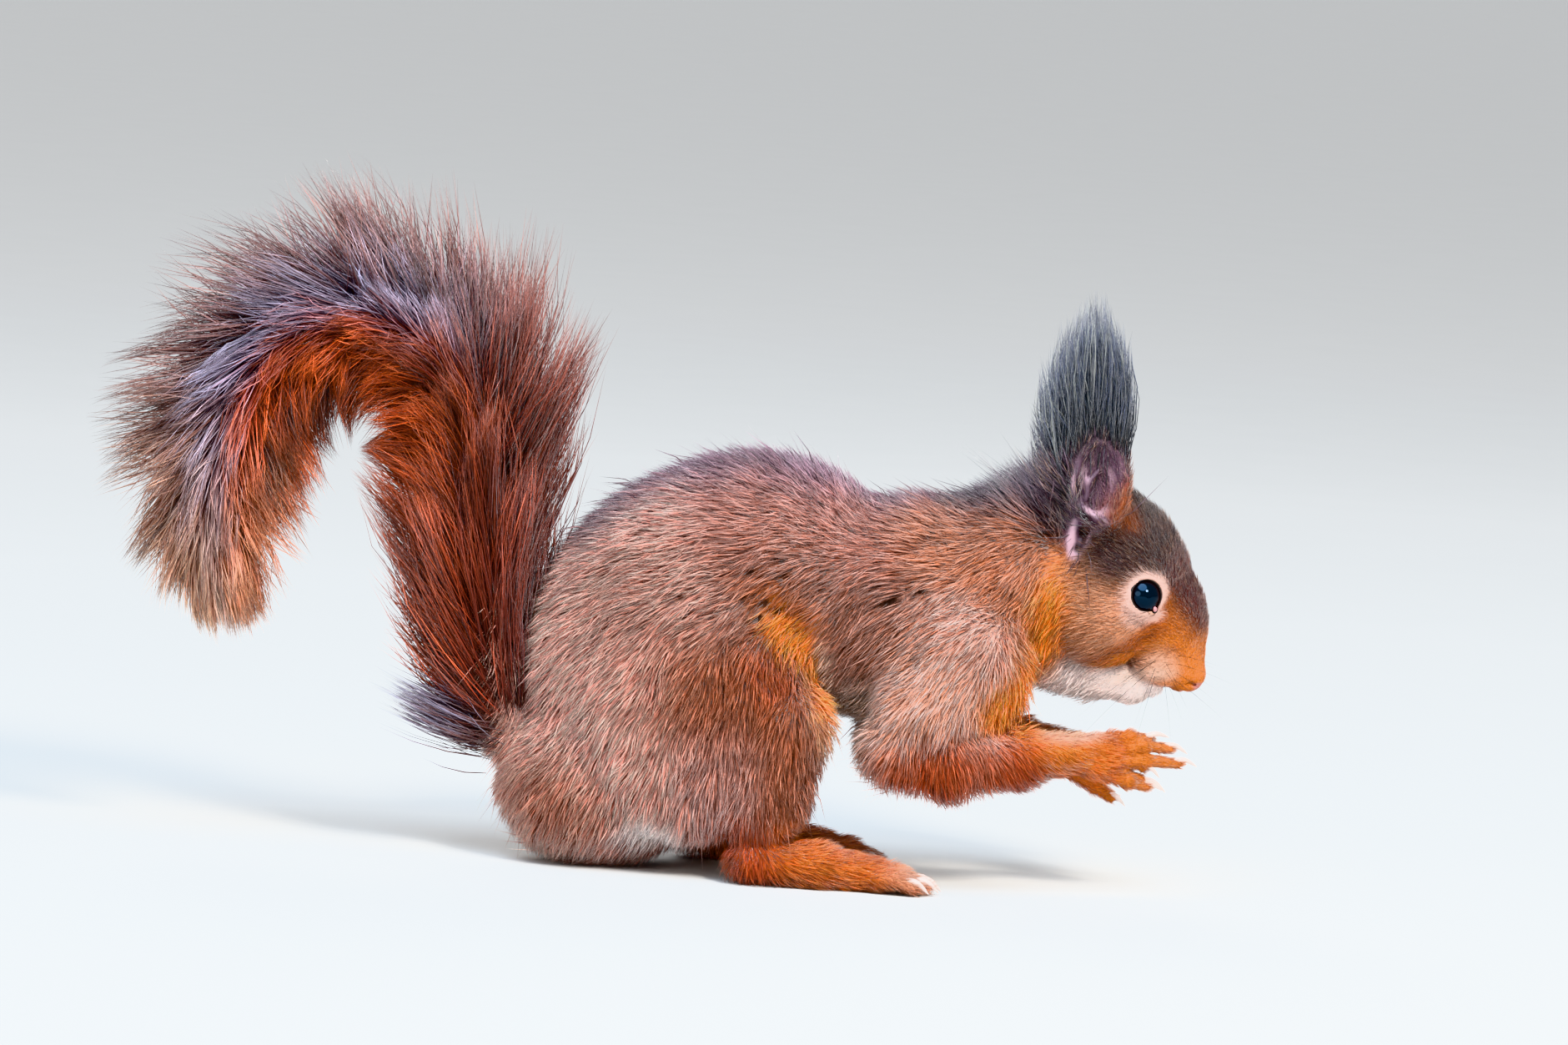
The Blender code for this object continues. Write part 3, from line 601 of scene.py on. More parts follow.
# The comb: part, place (right and left alike), reach, the way the hair lies, its length and rise in mm,
# tufts per square mm, and its colours.
COMB = [
    ("neck", (80, 0, 99), 7, (-0.85, 0, 0.40), 11, 7.0, 2.3, "nape"),
    ("neck", (88, 0, 98), 6, (-0.75, 0, 0.65), 14, 10.5, 2.4, "nape"),
    ("neck", (95, 9, 95), 5, (-0.66, 0.1, 0.74), 17, 13.0, 2.6, "nape"),
    ("back", (74, 0, 99), 10, (-1.0, 0, 0.05), 8, 4.6, 2.1, "nape"),
    ("back", (60, 0, 100), 10, (-1.0, 0, 0.03), 8, 4.8, 2.0, "spine"),
    ("back", (40, 0, 102), 13, (-1.0, 0, 0.02), 8.5, 5.2, 2.0, "spine"),
    ("back", (15, 0, 104), 14, (-1.0, 0, -0.10), 8.5, 5.3, 2.0, "spine"),
    ("back", (-12, 0, 94), 13, (-0.85, 0, -0.50), 8.5, 5.4, 2.0, "spine"),
    ("back", (20, 22, 90), 12, (-0.92, 0, -0.38), 8.5, 5.2, 2.0, "back"),
    ("back", (-4, 20, 86), 12, (-0.88, 0, -0.48), 8.5, 5.2, 2.0, "rump"),
    ("back", (46, 18, 88), 11, (-0.95, 0, -0.22), 8, 4.8, 2.0, "back"),
    ("back", (66, 14, 90), 9, (-0.95, 0, -0.25), 8, 4.6, 2.1, "neck"),
    ("rump", (-34, 0, 62), 15, (-0.40, 0, -0.90), 9, 5.6, 1.9, "rump"),
    ("rump", (-22, 18, 66), 14, (-0.60, 0, -0.80), 8.5, 5.2, 1.9, "rump"),
    ("rump", (-34, 0, 26), 13, (-0.50, 0, -0.80), 8, 4.6, 1.9, "rump"),
    ("rump", (-20, 20, 22), 13, (-0.30, 0, -0.95), 8, 4.6, 1.9, "rump"),
    ("rump", (-8, 12, 5), 9, (-0.30, 0, -0.60), 6, 3.0, 1.7, "shank"),
    ("flank", (24, 27, 78), 13, (-0.86, 0, -0.50), 8.5, 5.0, 2.0, "flank"),
    ("flank", (44, 24, 68), 13, (-0.75, 0, -0.66), 8, 4.8, 2.0, "flank"),
    ("flank", (42, 22, 54), 8, (-0.55, 0, -0.80), 7.5, 4.4, 2.0, "flank"),
    ("belly", (30, 0, 40), 13, (-0.85, 0, -0.25), 7, 4.0, 1.6, "cream"),
    ("belly", (56, 0, 40), 12, (-0.80, 0, -0.30), 7, 4.0, 1.6, "cream"),
    ("belly", (46, 14, 42), 8, (-0.60, 0, -0.70), 8, 4.4, 1.8, "cream"),
    ("belly", (78, 0, 50), 9, (-0.55, 0, -0.80), 7, 4.2, 1.7, "cream"),
    ("neck", (82, 17, 84), 8, (-0.70, 0, -0.62), 7.5, 4.4, 2.1, "neck"),
    ("neck", (86, 18, 74), 8, (-0.55, 0, -0.78), 7.5, 4.4, 2.1, "neck"),
    ("neck", (94, 15, 74), 5, (-0.45, 0, -0.88), 6.5, 4.0, 2.2, "gold"),
    ("neck", (90, 13, 60), 7, (-0.40, 0, -0.90), 7, 4.0, 2.1, "gold"),
    ("neck", (94, 0, 55), 8, (-0.70, 0, -0.60), 5.5, 3.0, 2.0, "chin"),
    ("legs", (4, 34, 72), 10, (-0.66, 0, -0.74), 8.5, 4.9, 2.0, "rump"),
    ("legs", (10, 35, 50), 13, (-0.28, 0, -0.96), 8, 4.7, 2.0, "thigh"),
    ("legs", (-10, 33, 52), 11, (-0.45, 0, -0.88), 8.5, 4.8, 2.0, "rump"),
    ("legs", (-8, 31, 30), 11, (-0.30, 0, -0.95), 8, 4.6, 2.0, "rump"),
    ("legs", (26, 33, 50), 8, (-0.12, 0, -0.99), 7.5, 4.4, 2.1, "thigh"),
    ("legs", (35, 30, 62), 5.5, (-0.05, 0, -1.0), 7, 4.2, 2.2, "gold"),
    ("legs", (30, 31, 72), 5, (-0.40, 0, -0.90), 7.5, 4.2, 2.1, "gold"),
    # Painted rim light: cream down the knee's front edge.
    ("legs", (41, 22, 46), 4.5, (0.05, 0, -1.0), 7, 4.0, 2.0, "cream"),
    ("legs", (14, 33, 30), 10, (-0.12, 0, -0.99), 8, 4.4, 2.0, "shank"),
    ("legs", (32, 32, 30), 8, (0.05, 0, -1.0), 7.5, 4.0, 2.1, "thigh"),
    ("legs", (22, 28, 10), 6, (0.15, 0, -0.95), 6, 2.8, 2.3, "forearm"),
    ("legs", (36, 26, 11), 6, (0.90, 0, -0.40), 5.2, 2.1, 3.4, "foot"),
    ("legs", (50, 26, 8), 6, (1.0, 0, -0.20), 4.4, 1.5, 4.2, "foot"),
    ("legs", (64, 26, 5), 5, (1.0, 0, -0.10), 3.2, 0.9, 5.0, "foot"),
    ("arms", (74, 26, 66), 9, (-0.55, 0, -0.83), 7.5, 4.4, 2.2, "shoulder"),
    ("arms", (66, 28, 52), 9, (-0.48, 0, -0.88), 7.5, 4.2, 2.2, "arm"),
    ("arms", (58, 27, 40), 7, (-0.25, 0, -0.97), 7.5, 4.2, 2.2, "arm"),
    ("arms", (84, 20, 50), 5, (-0.35, 0, -0.94), 6.5, 3.8, 2.2, "gold"),
    ("arms", (68, 27, 32), 7, (0.10, 0, -1.0), 7, 3.6, 2.3, "forearm"),
    ("arms", (78, 26, 36), 6, (0.35, 0, -0.94), 6, 3.2, 2.5, "arm"),
    ("arms", (88, 22, 32), 5, (0.62, 0, -0.78), 5.5, 2.7, 2.8, "forearm"),
    ("arms", (98, 18, 36), 5, (0.92, 0, -0.38), 4.2, 1.7, 3.6, "foot"),
    ("arms", (108, 15, 36), 5, (1.0, 0, -0.10), 3.4, 1.1, 4.6, "foot"),
    ("arms", (122, 11, 36), 6, (1.0, 0, 0), 2.1, 0.5, 5.5, "muzzle"),
    ("head", (108, 0, 103), 7, (-0.97, 0, 0.25), 4.8, 2.3, 3.6, "crown"),
    ("head", (121, 0, 93), 6, (-0.72, 0, 0.70), 4.0, 1.8, 4.2, "crown"),
    ("head", (127, 0, 82), 5, (-0.50, 0, 0.86), 3.4, 1.3, 4.6, "forehead"),
    ("head", (130, 0, 72), 4.5, (-0.25, 0, 0.97), 2.6, 0.9, 5.2, "forehead"),
    ("head", (132, 0, 63), 4, (-0.15, 0, 0.98), 1.8, 0.5, 6.0, "muzzle"),
    ("head", (131, 0, 56), 4, (-0.30, 0, 0.95), 1.1, 0.25, 6.0, "muzzle"),
    ("head", (125, 7, 68), 4, (-0.70, 0.2, 0.55), 2.2, 0.7, 6.0, "muzzle"),
    ("head", (122.5, 8, 57.8), 2.4, (-0.90, 0.3, 0.10), 1.8, 0.5, 6.0, "muzzle"),
    ("head", (116, 9, 62), 5, (-0.95, 0.2, -0.05), 2.8, 0.9, 5.0, "muzzle"),
    ("head", (117, 15, 76), 3, (-0.80, 0, 0.10), 1.3, 0.3, 6.0, "eye_ring"),
    ("head", (112, 14, 68), 4, (-0.92, 0, -0.20), 3.2, 1.1, 4.4, "cheek"),
    ("head", (121, 11, 69), 3, (-0.85, 0.2, 0.05), 2.4, 0.8, 5.0, "face"),
    ("head", (106, 17, 65), 6, (-0.92, 0, -0.30), 4.2, 1.7, 3.8, "cheek"),
    ("head", (104, 16, 77), 6, (-0.95, 0, -0.12), 4.2, 1.8, 3.8, "cheek"),
    ("head", (110, 15, 86), 5, (-0.85, 0, 0.45), 3.6, 1.5, 4.2, "crown"),
    ("head", (112, 6, 54), 4, (-0.95, 0, -0.25), 2.6, 1.1, 4.4, "chin"),
    ("head", (118, 0, 50), 4, (-0.80, 0, -0.50), 2.0, 0.8, 4.6, "chin"),
    ("head", (101, 10, 104), 5, (-0.10, 0, 1.0), 4.5, 1.3, 3.8, "nape"),
    ("head", (94, 14, 101), 4, (-0.52, 0.2, 0.84), 11, 6.5, 3.8, "nape"),
    ("head", (112, 13, 98), 4, (0.02, 0.1, 1.0), 3.6, 1.0, 4.2, "ear_front"),
    ("head", (104, 16.5, 103), 4, (0.0, 0.1, 1.0), 2.0, 0.5, 1.6, "ear_fur"),
    ("head", (97.5, 16, 89), 2.5, (-0.3, 0.1, 0.9), 1.8, 0.7, 3.6, "ear_fur"),
    ("head", (96.5, 16, 95.5), 2.5, (-0.6, 0.1, 0.6), 2.8, 0.9, 3.6, "nape"),
    ("head", (96, 15, 84), 2.5, (-0.8, 0.1, 0.1), 2.8, 0.9, 3.6, "neck"),
    ("rump", (-38, 0, 44), 7, (-0.30, 0, -0.90), 6, 2.0, 1.3, "tail_brown"),
    ("rump", (-42, 0, 34), 7, (-0.50, 0, -0.60), 6, 2.0, 1.3, "tail_brown"),
]

# Patches laid over the comb's colours: coat, centre, half-axes, pitch, softness and strength.
PATCHES = [
    ("crown", (108.5, 16, 85.0), (7.0, 8, 6.0), 30, 0.6, 0.6),
    ("nape", (107.5, 16, 83.5), (4.5, 8, 4.0), 30, 0.6, 0.35),
    ("forehead", (128.7, 0, 75.5), (6.4, 14, 10.5), -18, 0.45, 0.92),
    ("chin", (104, 4, 54), (12, 9, 5.0), 25, 0.45, 0.85),
    ("gold", (95, 15, 72), (2.8, 9, 13), 0, 0.7, 0.7),
    ("gold", (93, 14, 60), (5, 12, 8), 0, 0.7, 0.85),
    ("gold", (88, 18, 46), (4.5, 9, 6), 0, 0.7, 0.75),
    ("face", (30, 26, 70.5), (12, 14, 4.2), 28, 0.8, 0.7),
    ("forearm", (28, 32, 55), (8, 10, 7.5), 25, 0.8, 0.65),
    ("gold", (31.5, 26, 63.5), (8, 14, 4.4), 42, 0.6, 0.9),
    ("gold", (38.6, 24, 51.5), (4.0, 14, 13), -12, 0.6, 0.97),
    # Painted rim light: a cream strip down the knee's front edge.
    ("cream", (42.8, 18, 49), (2.2, 14, 14), -14, 0.5, 0.75),
    ("thigh", (20, 36, 36), (10, 8, 16), -15, 0.8, 0.4),
    ("thigh", (-30, 20, 18), (18, 18, 12), 10, 0.7, 0.75),
    ("chin", (-1, 20, 12.0), (7.5, 14, 5), 0, 0.5, 0.95),
    ("gold", (90, 16, 44), (6.5, 9, 3.6), 20, 0.7, 0.9),
    ("forearm", (72, 24, 32), (24, 16, 8), -4, 0.7, 0.85),
    # Painted highlight: a cream strip along the top of the forearm.
    ("cream", (100, 14, 41.2), (7.5, 9, 2.2), 0, 0.6, 0.8),
    ("gold", (99, 14, 37), (9, 9, 4), 0, 0.8, 0.4),
    ("eye_ring", (117.0, 15, 75.0), (4.8, 9, 6.7), 8, 0.30, 0.95),
    ("pad", (66, 24, 5), (8, 14, 4), 0, 0.7, 0.5),
    ("pad", (121.5, 12, 58.6), (4.6, 9, 3.8), 0, 0.95, 0.8),
    ("cream", (117.0, 12, 55.4), (8, 9, 1.8), -8, 0.8, 0.7),
    ("flank", (-7, 30, 72), (17, 22, 13), 0, 0.8, 0.65),
    ("face", (114.6, 13, 63.4), (10.5, 9, 2.2), -28, 0.6, 0.9),
    ("gold", (113.5, 13, 60.2), (9.0, 9, 1.7), -24, 0.6, 0.6),
]

# Small gaps in the coat that show its dark roots: centre, half-axes and pitch.
PARTINGS = [
    ((19.5, 27, 77.3), (1.9, 12, 0.8), 20),
    ((27.8, 27, 76.9), (1.4, 12, 0.6), 20),
    ((18.4, 28, 71.0), (1.0, 12, 0.9), 0),
    ((23.5, 28, 69.8), (1.2, 12, 1.3), 0),
    ((26.7, 28, 68.1), (1.1, 12, 1.1), 0),
    ((22.4, 28, 66.2), (0.9, 12, 0.8), 0),
    ((1.8, 29, 70.1), (1.4, 12, 0.6), -20),
    ((5.1, 29, 67.2), (0.8, 12, 1.6), 0),
    ((54.2, 25, 71.4), (3.0, 12, 1.2), -18),
    ((61.3, 24, 74.6), (3.0, 12, 0.5), -10),
    ((46.4, 25, 46.2), (1.6, 12, 0.6), -20),
]

# Bare or nearly bare skin at the nose, lips, eye corner and ear channel: centre, half-axes and pitch.
BARE = [
    ((132.4, 0, 53.6), (1.6, 3.8, 1.5), 0),
    ((130.0, 0, 52.0), (2.4, 2.2, 1.0), 10),
    ((120.0, 8.7, 72.2), (3.3, 6, 2.7), 0),
    ((100.0, 17, 89.5), (2.9, 4, 6.4), 8),
]

# Pale folds inside the ear, partly paler skin and partly painted highlight where they catch the light:
# centre and half-axes.
EAR_FOLDS_AND_HIGHLIGHTS = [
    ((97.3, 17, 103.2), (1.0, 4, 4.2)),
    ((100.4, 15, 105.2), (1.3, 3, 2.4)),
    ((106.4, 15, 104.6), (1.6, 3, 2.8)),
    ((109.8, 16, 108.8), (0.7, 4, 3.4)),
    ((104.0, 15, 97.2), (3.0, 4, 1.5)),
    ((98.0, 15, 90.0), (1.3, 4, 5.0)),
    ((102.0, 15, 91.6), (0.9, 4, 4.4)),
    ((99.0, 15, 84.8), (2.1, 4, 2.1)),
]
# Painted shade in the hollows inside the ear.
EAR_HOLLOW_SHADES = [
    ((102.0, 15, 94.9), (1.3, 5, 1.0)),
    ((101.4, 15, 90.3), (0.9, 5, 2.6)),
    ((100.0, 15, 87.4), (1.0, 5, 1.2)),
]


COMB_SHARPNESS = 2.2  # higher leaves more of each place to the nearest row


def folded(points):
    """The points of both sides laid over one another on the left."""
    return points * (1, 0, 1) + np.abs(points) * (0, 1, 0)


def comb_weights(points):
    """How much each row of the comb counts at each point."""
    places = np.array([row[1] for row in COMB], float)
    reach = np.array([row[2] for row in COMB], float)
    gaps = ((folded(points)[:, None, :] - places[None]) ** 2).sum(axis=2) / (2 * reach ** 2)
    weights = np.exp(-COMB_SHARPNESS * (gaps - gaps.min(axis=1, keepdims=True)))
    return weights / weights.sum(axis=1, keepdims=True)


def combed(weights, index):
    """One column of the comb, blended by the weights at each point."""
    return weights @ np.array([row[index] for row in COMB], float)


def palette(names):
    return np.array([tuple(getattr(colours(), name)) for name in names])


def soft_patch(points, centre, half_axes, pitch, softness):
    reach, _ = ball_depth(folded(points).T, centre, half_axes, pitch)
    return 1 - smoothstep(1 - softness, 1 + softness, reach)


def coat_colours(points, weights):
    """Colours of the hair near its root and at its tip at each point of the skin."""
    lower = weights @ palette([row[7] for row in COMB])
    tip = weights @ palette([row[7] + "_tip" for row in COMB])
    for name, centre, half_axes, pitch, softness, strength in PATCHES:
        share = soft_patch(points, centre, half_axes, pitch, softness) * strength
        lower, tip = blend_coat(lower, tip, name, share)
    return lower, tip


def blend_coat(lower, tip, name, share):
    share = share[:, None]
    return mix(lower, palette([name]), share), mix(tip, palette([name + "_tip"]), share)


def bareness(points):
    """1 on bare skin, 0 under hair."""
    bare = np.zeros(len(points))
    for centre, half_axes, pitch in BARE:
        bare = np.maximum(bare, soft_patch(points, centre, half_axes, pitch, 0.25))
    for side in SIDES:
        centre, axis = eye_place(side)
        offset = points - centre
        along = offset @ axis
        across = np.linalg.norm(offset - along[:, None] * axis, axis=1)
        lids = (along > 0) * (1 - smoothstep(EYE_OPENING + 0.6, EYE_OPENING + 1.4, across))
        bare = np.maximum(bare, lids * (np.abs(offset[:, 0]) < 9))
    cup = soft_patch(points, *EAR_CUP, 0, 0.1) * (np.abs(points[:, 1]) > 14)
    return np.maximum(bare, 0.8 * cup)


def wander(points, scale, seed):
    """Slow, smooth noise from -1 to 1 in three channels."""
    random = np.random.default_rng(seed)
    total = np.zeros((len(points), 3))
    for _ in range(5):
        direction = unit(random.normal(size=3)) * random.uniform(0.6, 1.7) * math.tau / scale
        phase = random.uniform(0, math.tau, 3)
        total += np.sin((points @ direction)[:, None] + phase)
    return total / 3


# ---------------------------------------------------------------- meshes

def in_frame(points):
    """Millimetres in the animal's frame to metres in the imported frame."""
    return (np.asarray(points, float) - (MIDDLE_X, 0, 0)) * MM


def link(name, mesh):
    obj = bpy.data.objects.new(name, mesh)
    bpy.context.scene.collection.objects.link(obj)
    return obj


def new_piece(name, points, faces, material, replaced):
    """A mesh object from arrays of points and of faces with one number of corners."""
    mesh = bpy.data.meshes.new(name)
    count, corners = faces.shape
    mesh.vertices.add(len(points))
    mesh.vertices.foreach_set("co", in_frame(points).astype(np.float32).ravel())
    mesh.loops.add(count * corners)
    mesh.loops.foreach_set("vertex_index", faces.astype(np.int32).ravel())
    mesh.polygons.add(count)
    mesh.polygons.foreach_set("loop_start", np.arange(0, count * corners, corners, dtype=np.int32))
    mesh.update(calc_edges=True)
    mesh.materials.append(material)
    return finish_piece(link(name, mesh), replaced)


def finish_piece(obj, replaced):
    """Ties a piece to the body it moves with, and hides the parts it replaces."""
    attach(obj, "root")
    if replaced:
        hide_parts(*replaced)
    return obj


def add_colours(mesh, name, values):
    layer = mesh.attributes.new(name, "FLOAT_COLOR", "POINT")
    opaque = np.ones((len(values), 4), np.float32)
    opaque[:, :3] = values
    layer.data.foreach_set("color", opaque.ravel())


def add_numbers(mesh, name, values):
    layer = mesh.attributes.new(name, "FLOAT", "POINT")
    layer.data.foreach_set("value", values.astype(np.float32))


def read(collection, name, width, kind=np.float32):
    values = np.empty(len(collection) * width, kind)
    collection.foreach_get(name, values)
    return values.reshape(-1, width)


# ---------------------------------------------------------------- materials

CORNEA_IOR = 1.376
PAINTED_SKY_TINT = (0.38, 0.64, 1.0, 1)  # a blue tint painted into the cornea's reflections, standing in for the open sky that a wet eye mirrors


def connect(tree, made, inputs):
    """Sets a node's inputs, as values or as sockets to link from."""
    for name, value in inputs.items():
        if isinstance(value, bpy.types.NodeSocket):
            tree.links.new(value, made.inputs[name])
        else:
            made.inputs[name].default_value = value
    return made


def node(tree, kind, settings=None, inputs=None):
    """Adds a node, with its settings and its inputs."""
    made = tree.nodes.new(kind)
    for name, value in (settings or {}).items():
        setattr(made, name, value)
    return connect(tree, made, inputs or {})


def new_material(name):
    """A material with its node tree and its shader."""
    material = bpy.data.materials.new(name)
    material.use_nodes = True
    return material, material.node_tree, material.node_tree.nodes["Principled BSDF"]


def per_metre(millimetres):
    """Scale of a texture on object coordinates for a feature of that size."""
    return 1 / (millimetres * MM)


def skin_material():
    """Skin under dense short hair: the coat's own colours, broken by fine lines of hair that lie flat."""
    material, tree, shader = new_material("skin_with_short_hair")
    place = node(tree, "ShaderNodeTexCoord").outputs["Object"]
    markings = node(tree, "ShaderNodeAttribute", {"attribute_name": "markings"}).outputs["Color"]
    bare = node(tree, "ShaderNodeAttribute", {"attribute_name": "bare"}).outputs["Fac"]
    # Hairs are drawn 0.5 mm apart, some ten times as coarse as real ones, so that they show.
    hair = node(tree, "ShaderNodeTexNoise", inputs={
        "Vector": place, "Scale": per_metre(0.5), "Detail": 3, "Roughness": 0.65}).outputs["Fac"]
    patchy = node(tree, "ShaderNodeTexNoise", inputs={
        "Vector": place, "Scale": per_metre(3.5), "Detail": 2})
    shade = node(tree, "ShaderNodeMapRange", inputs={
        "Value": hair, "From Min": 0.3, "From Max": 0.7, "To Min": 0.55, "To Max": 1.2})
    slow = node(tree, "ShaderNodeMapRange", inputs={
        "Value": patchy.outputs["Fac"], "From Min": 0.3, "From Max": 0.7, "To Min": 0.85, "To Max": 1.12})
    both = node(tree, "ShaderNodeMath", {"operation": "MULTIPLY"}, {
        0: shade.outputs["Result"], 1: slow.outputs["Result"]}).outputs["Value"]
    smooth = node(tree, "ShaderNodeMix", {"data_type": "FLOAT"}, {"Factor": bare, 2: both, 3: 1.0})
    tinted = node(tree, "ShaderNodeVectorMath", {"operation": "SCALE"}, {
        0: markings, "Scale": smooth.outputs[0]})
    depth = node(tree, "ShaderNodeMapRange", inputs={"Value": bare, "To Min": 0.9, "To Max": 0.25})
    bump = node(tree, "ShaderNodeBump", inputs={
        "Height": hair, "Strength": depth.outputs["Result"], "Distance": 0.4 * MM})
    rough = node(tree, "ShaderNodeMapRange", inputs={"Value": bare, "To Min": 0.85, "To Max": 0.42})
    connect(tree, shader, {"Base Color": tinted.outputs[0], "Normal": bump.outputs["Normal"],
                           "Roughness": rough.outputs["Result"], "Specular IOR Level": 0.3})
    return material


def hair_material(name, roughness, sheen):
    """Guard hairs: smooth keratin, so each tuft keeps its own colour and a soft streak of light."""
    material, tree, shader = new_material(name)
    place = node(tree, "ShaderNodeTexCoord").outputs["Object"]
    hair = node(tree, "ShaderNodeAttribute", {"attribute_name": "hair"})
    strands = node(tree, "ShaderNodeTexNoise", inputs={
        "Vector": place, "Scale": per_metre(0.6), "Detail": 2})
    shade = node(tree, "ShaderNodeMapRange", inputs={
        "Value": strands.outputs["Fac"], "From Min": 0.3, "From Max": 0.7, "To Min": 0.85, "To Max": 1.12})
    tinted = node(tree, "ShaderNodeVectorMath", {"operation": "SCALE"}, {
        0: hair.outputs["Color"], "Scale": shade.outputs["Result"]})
    connect(tree, shader, {"Base Color": tinted.outputs[0], "Roughness": roughness,
                           "Specular IOR Level": 0.35, "Sheen Weight": sheen, "Sheen Roughness": 0.4})
    return material


def eye_material():
    """A wet eyeball: a near-black brown iris and pupil under a sharp cornea, its reflections tinted blue as
    a painted sky reflection.
    """
    material, tree, shader = new_material("wet_cornea_over_dark_iris")
    rim = node(tree, "ShaderNodeAttribute", {"attribute_name": "rim"})
    ramp = node(tree, "ShaderNodeValToRGB", inputs={"Fac": rim.outputs["Fac"]})
    for stop, text, position in zip(ramp.color_ramp.elements, ("03050A", "16100E"), (0.5, 0.86)):
        stop.color, stop.position = (*hex_colour(text), 1), position
    connect(tree, shader, {"Base Color": ramp.outputs["Color"], "Roughness": 0.04, "IOR": CORNEA_IOR,
                           "Specular Tint": PAINTED_SKY_TINT})
    return material


def mottled_material(name, tone, dim, millimetres, detail=2, span=(0, 1), roughness=0.35, bump=0):
    """An even surface whose tone drifts a little: from dim times the tone up to the tone."""
    material, tree, shader = new_material(name)
    place = node(tree, "ShaderNodeTexCoord").outputs["Object"]
    noise = node(tree, "ShaderNodeTexNoise", inputs={
        "Vector": place, "Scale": per_metre(millimetres), "Detail": detail}).outputs["Fac"]
    ramp = node(tree, "ShaderNodeValToRGB", inputs={"Fac": noise})
    for stop, light, position in zip(ramp.color_ramp.elements, (dim, 1), span):
        stop.color, stop.position = (*(light * value for value in tone), 1), position
    connect(tree, shader, {"Base Color": ramp.outputs["Color"], "Roughness": roughness})
    if bump:
        grooves = node(tree, "ShaderNodeBump", inputs={
            "Height": noise, "Strength": bump, "Distance": 0.1 * MM})
        connect(tree, shader, {"Normal": grooves.outputs["Normal"]})
    return material


def claw_material():
    """Horn: pale and waxy, its tone drifting a little darker in places."""
    return mottled_material("polished_horn_claw", colours().claw, 0.62, 1.2, 3, (0.3, 0.62), 0.3, 0.15)


def whisker_material():
    """Stiff black hair with a satin surface."""
    return mottled_material("black_whisker_hair", 3 * np.array(colours().whisker), 1 / 3, 4, 1)


def bare_material(name, text):
    """Moist bare skin: even and smooth, with a soft shine."""
    return mottled_material(name, hex_colour(text), 0.7, 0.8)


def backdrop_material():
    """Seamless backdrop paper: matte, with no shine."""
    return mottled_material("matte_backdrop_paper", colours().backdrop, 0.97, 40, roughness=0.9)


# ---------------------------------------------------------------- skin

FLESH_NODES = [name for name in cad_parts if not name.startswith(("eye_", "ear_tuft_", "tail_"))]
TAIL_NODES = [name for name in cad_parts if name.startswith("tail_")]


def make_skin():
    points, faces = skin_surface()
    skin = new_piece("skin", points, faces, skin_material(), FLESH_NODES)
    mesh = skin.data
    mesh.shade_smooth()
    weights = comb_weights(points)
    lower, tip = coat_colours(points, weights)
    bare = bareness(points)
    tail = smoothstep(-40, -46, points[:, 0])[:, None]
    hair = mix(0.75 * lower + 0.25 * tip, palette(["tail_brown"]), tail)
    for centre, half_axes, pitch in PARTINGS:
        wider = (half_axes[0] + 0.5, half_axes[1], half_axes[2] + 0.4)
        hair = mix(hair, palette(["parting"]), soft_patch(points, centre, wider, pitch, 0.4)[:, None] * 0.95)
    add_colours(mesh, "markings", mix(hair, bare_colours(points), bare[:, None]))
    add_numbers(mesh, "bare", bare)
    unwrap(skin)
    return skin


EAR_BOTTOM = 83
LID_REACH = 8.5  # from the eye's centre to the end of its bare skin


def bare_colours(points):
    """Dark lid rims, pink lips and nose, and mauve ears with paler folds, partly painted highlight, and
    painted shade in their hollows.
    """
    flesh = np.repeat(palette(["flesh"]), len(points), axis=0)
    flesh[points[:, 2] > EAR_BOTTOM] = palette(["ear_skin"])
    centre, axis = eye_place("left")
    offset = folded(points) - centre
    across = np.linalg.norm(offset - (offset @ axis)[:, None] * axis, axis=1)
    by_eye = np.linalg.norm(offset, axis=1) < LID_REACH
    corner = np.linalg.norm((offset - EYE_CORNER)[:, (0, 2)] + (0, 0.4), axis=1)
    rim = (1 - smoothstep(EYE_OPENING, EYE_OPENING + 0.6, np.minimum(across, corner + 3.0)))[by_eye, None]
    lids = mix(0.85 * palette(["eye_ring"]), 0.05 * palette(["flesh"]), rim)
    flesh[by_eye] = mix(lids, palette(["pad"]), (1 - smoothstep(0.5, 0.9, corner))[by_eye, None])
    # Pale folds with painted highlight, then painted shade in the ear's hollows.
    for forms, name, strength in ((EAR_FOLDS_AND_HIGHLIGHTS, "ear_rim", 0.85), (EAR_HOLLOW_SHADES, "parting", 0.9)):
        for centre, half_axes in forms:
            share = soft_patch(points, centre, half_axes, 0, 0.5)[:, None] * strength
            flesh = mix(flesh, palette([name]), share)
    return flesh


def unwrap(obj):
    """Lays the skin out flat, in islands, on a map of its own."""
    obj.data.uv_layers.new(name="OFBake")
    bpy.ops.object.select_all(action="DESELECT")
    obj.select_set(True)
    bpy.context.view_layer.objects.active = obj
    bpy.ops.object.mode_set(mode="EDIT")
    bpy.ops.mesh.select_all(action="SELECT")
    bpy.ops.uv.smart_project(angle_limit=math.radians(66), island_margin=0.002)
    bpy.ops.object.mode_set(mode="OBJECT")


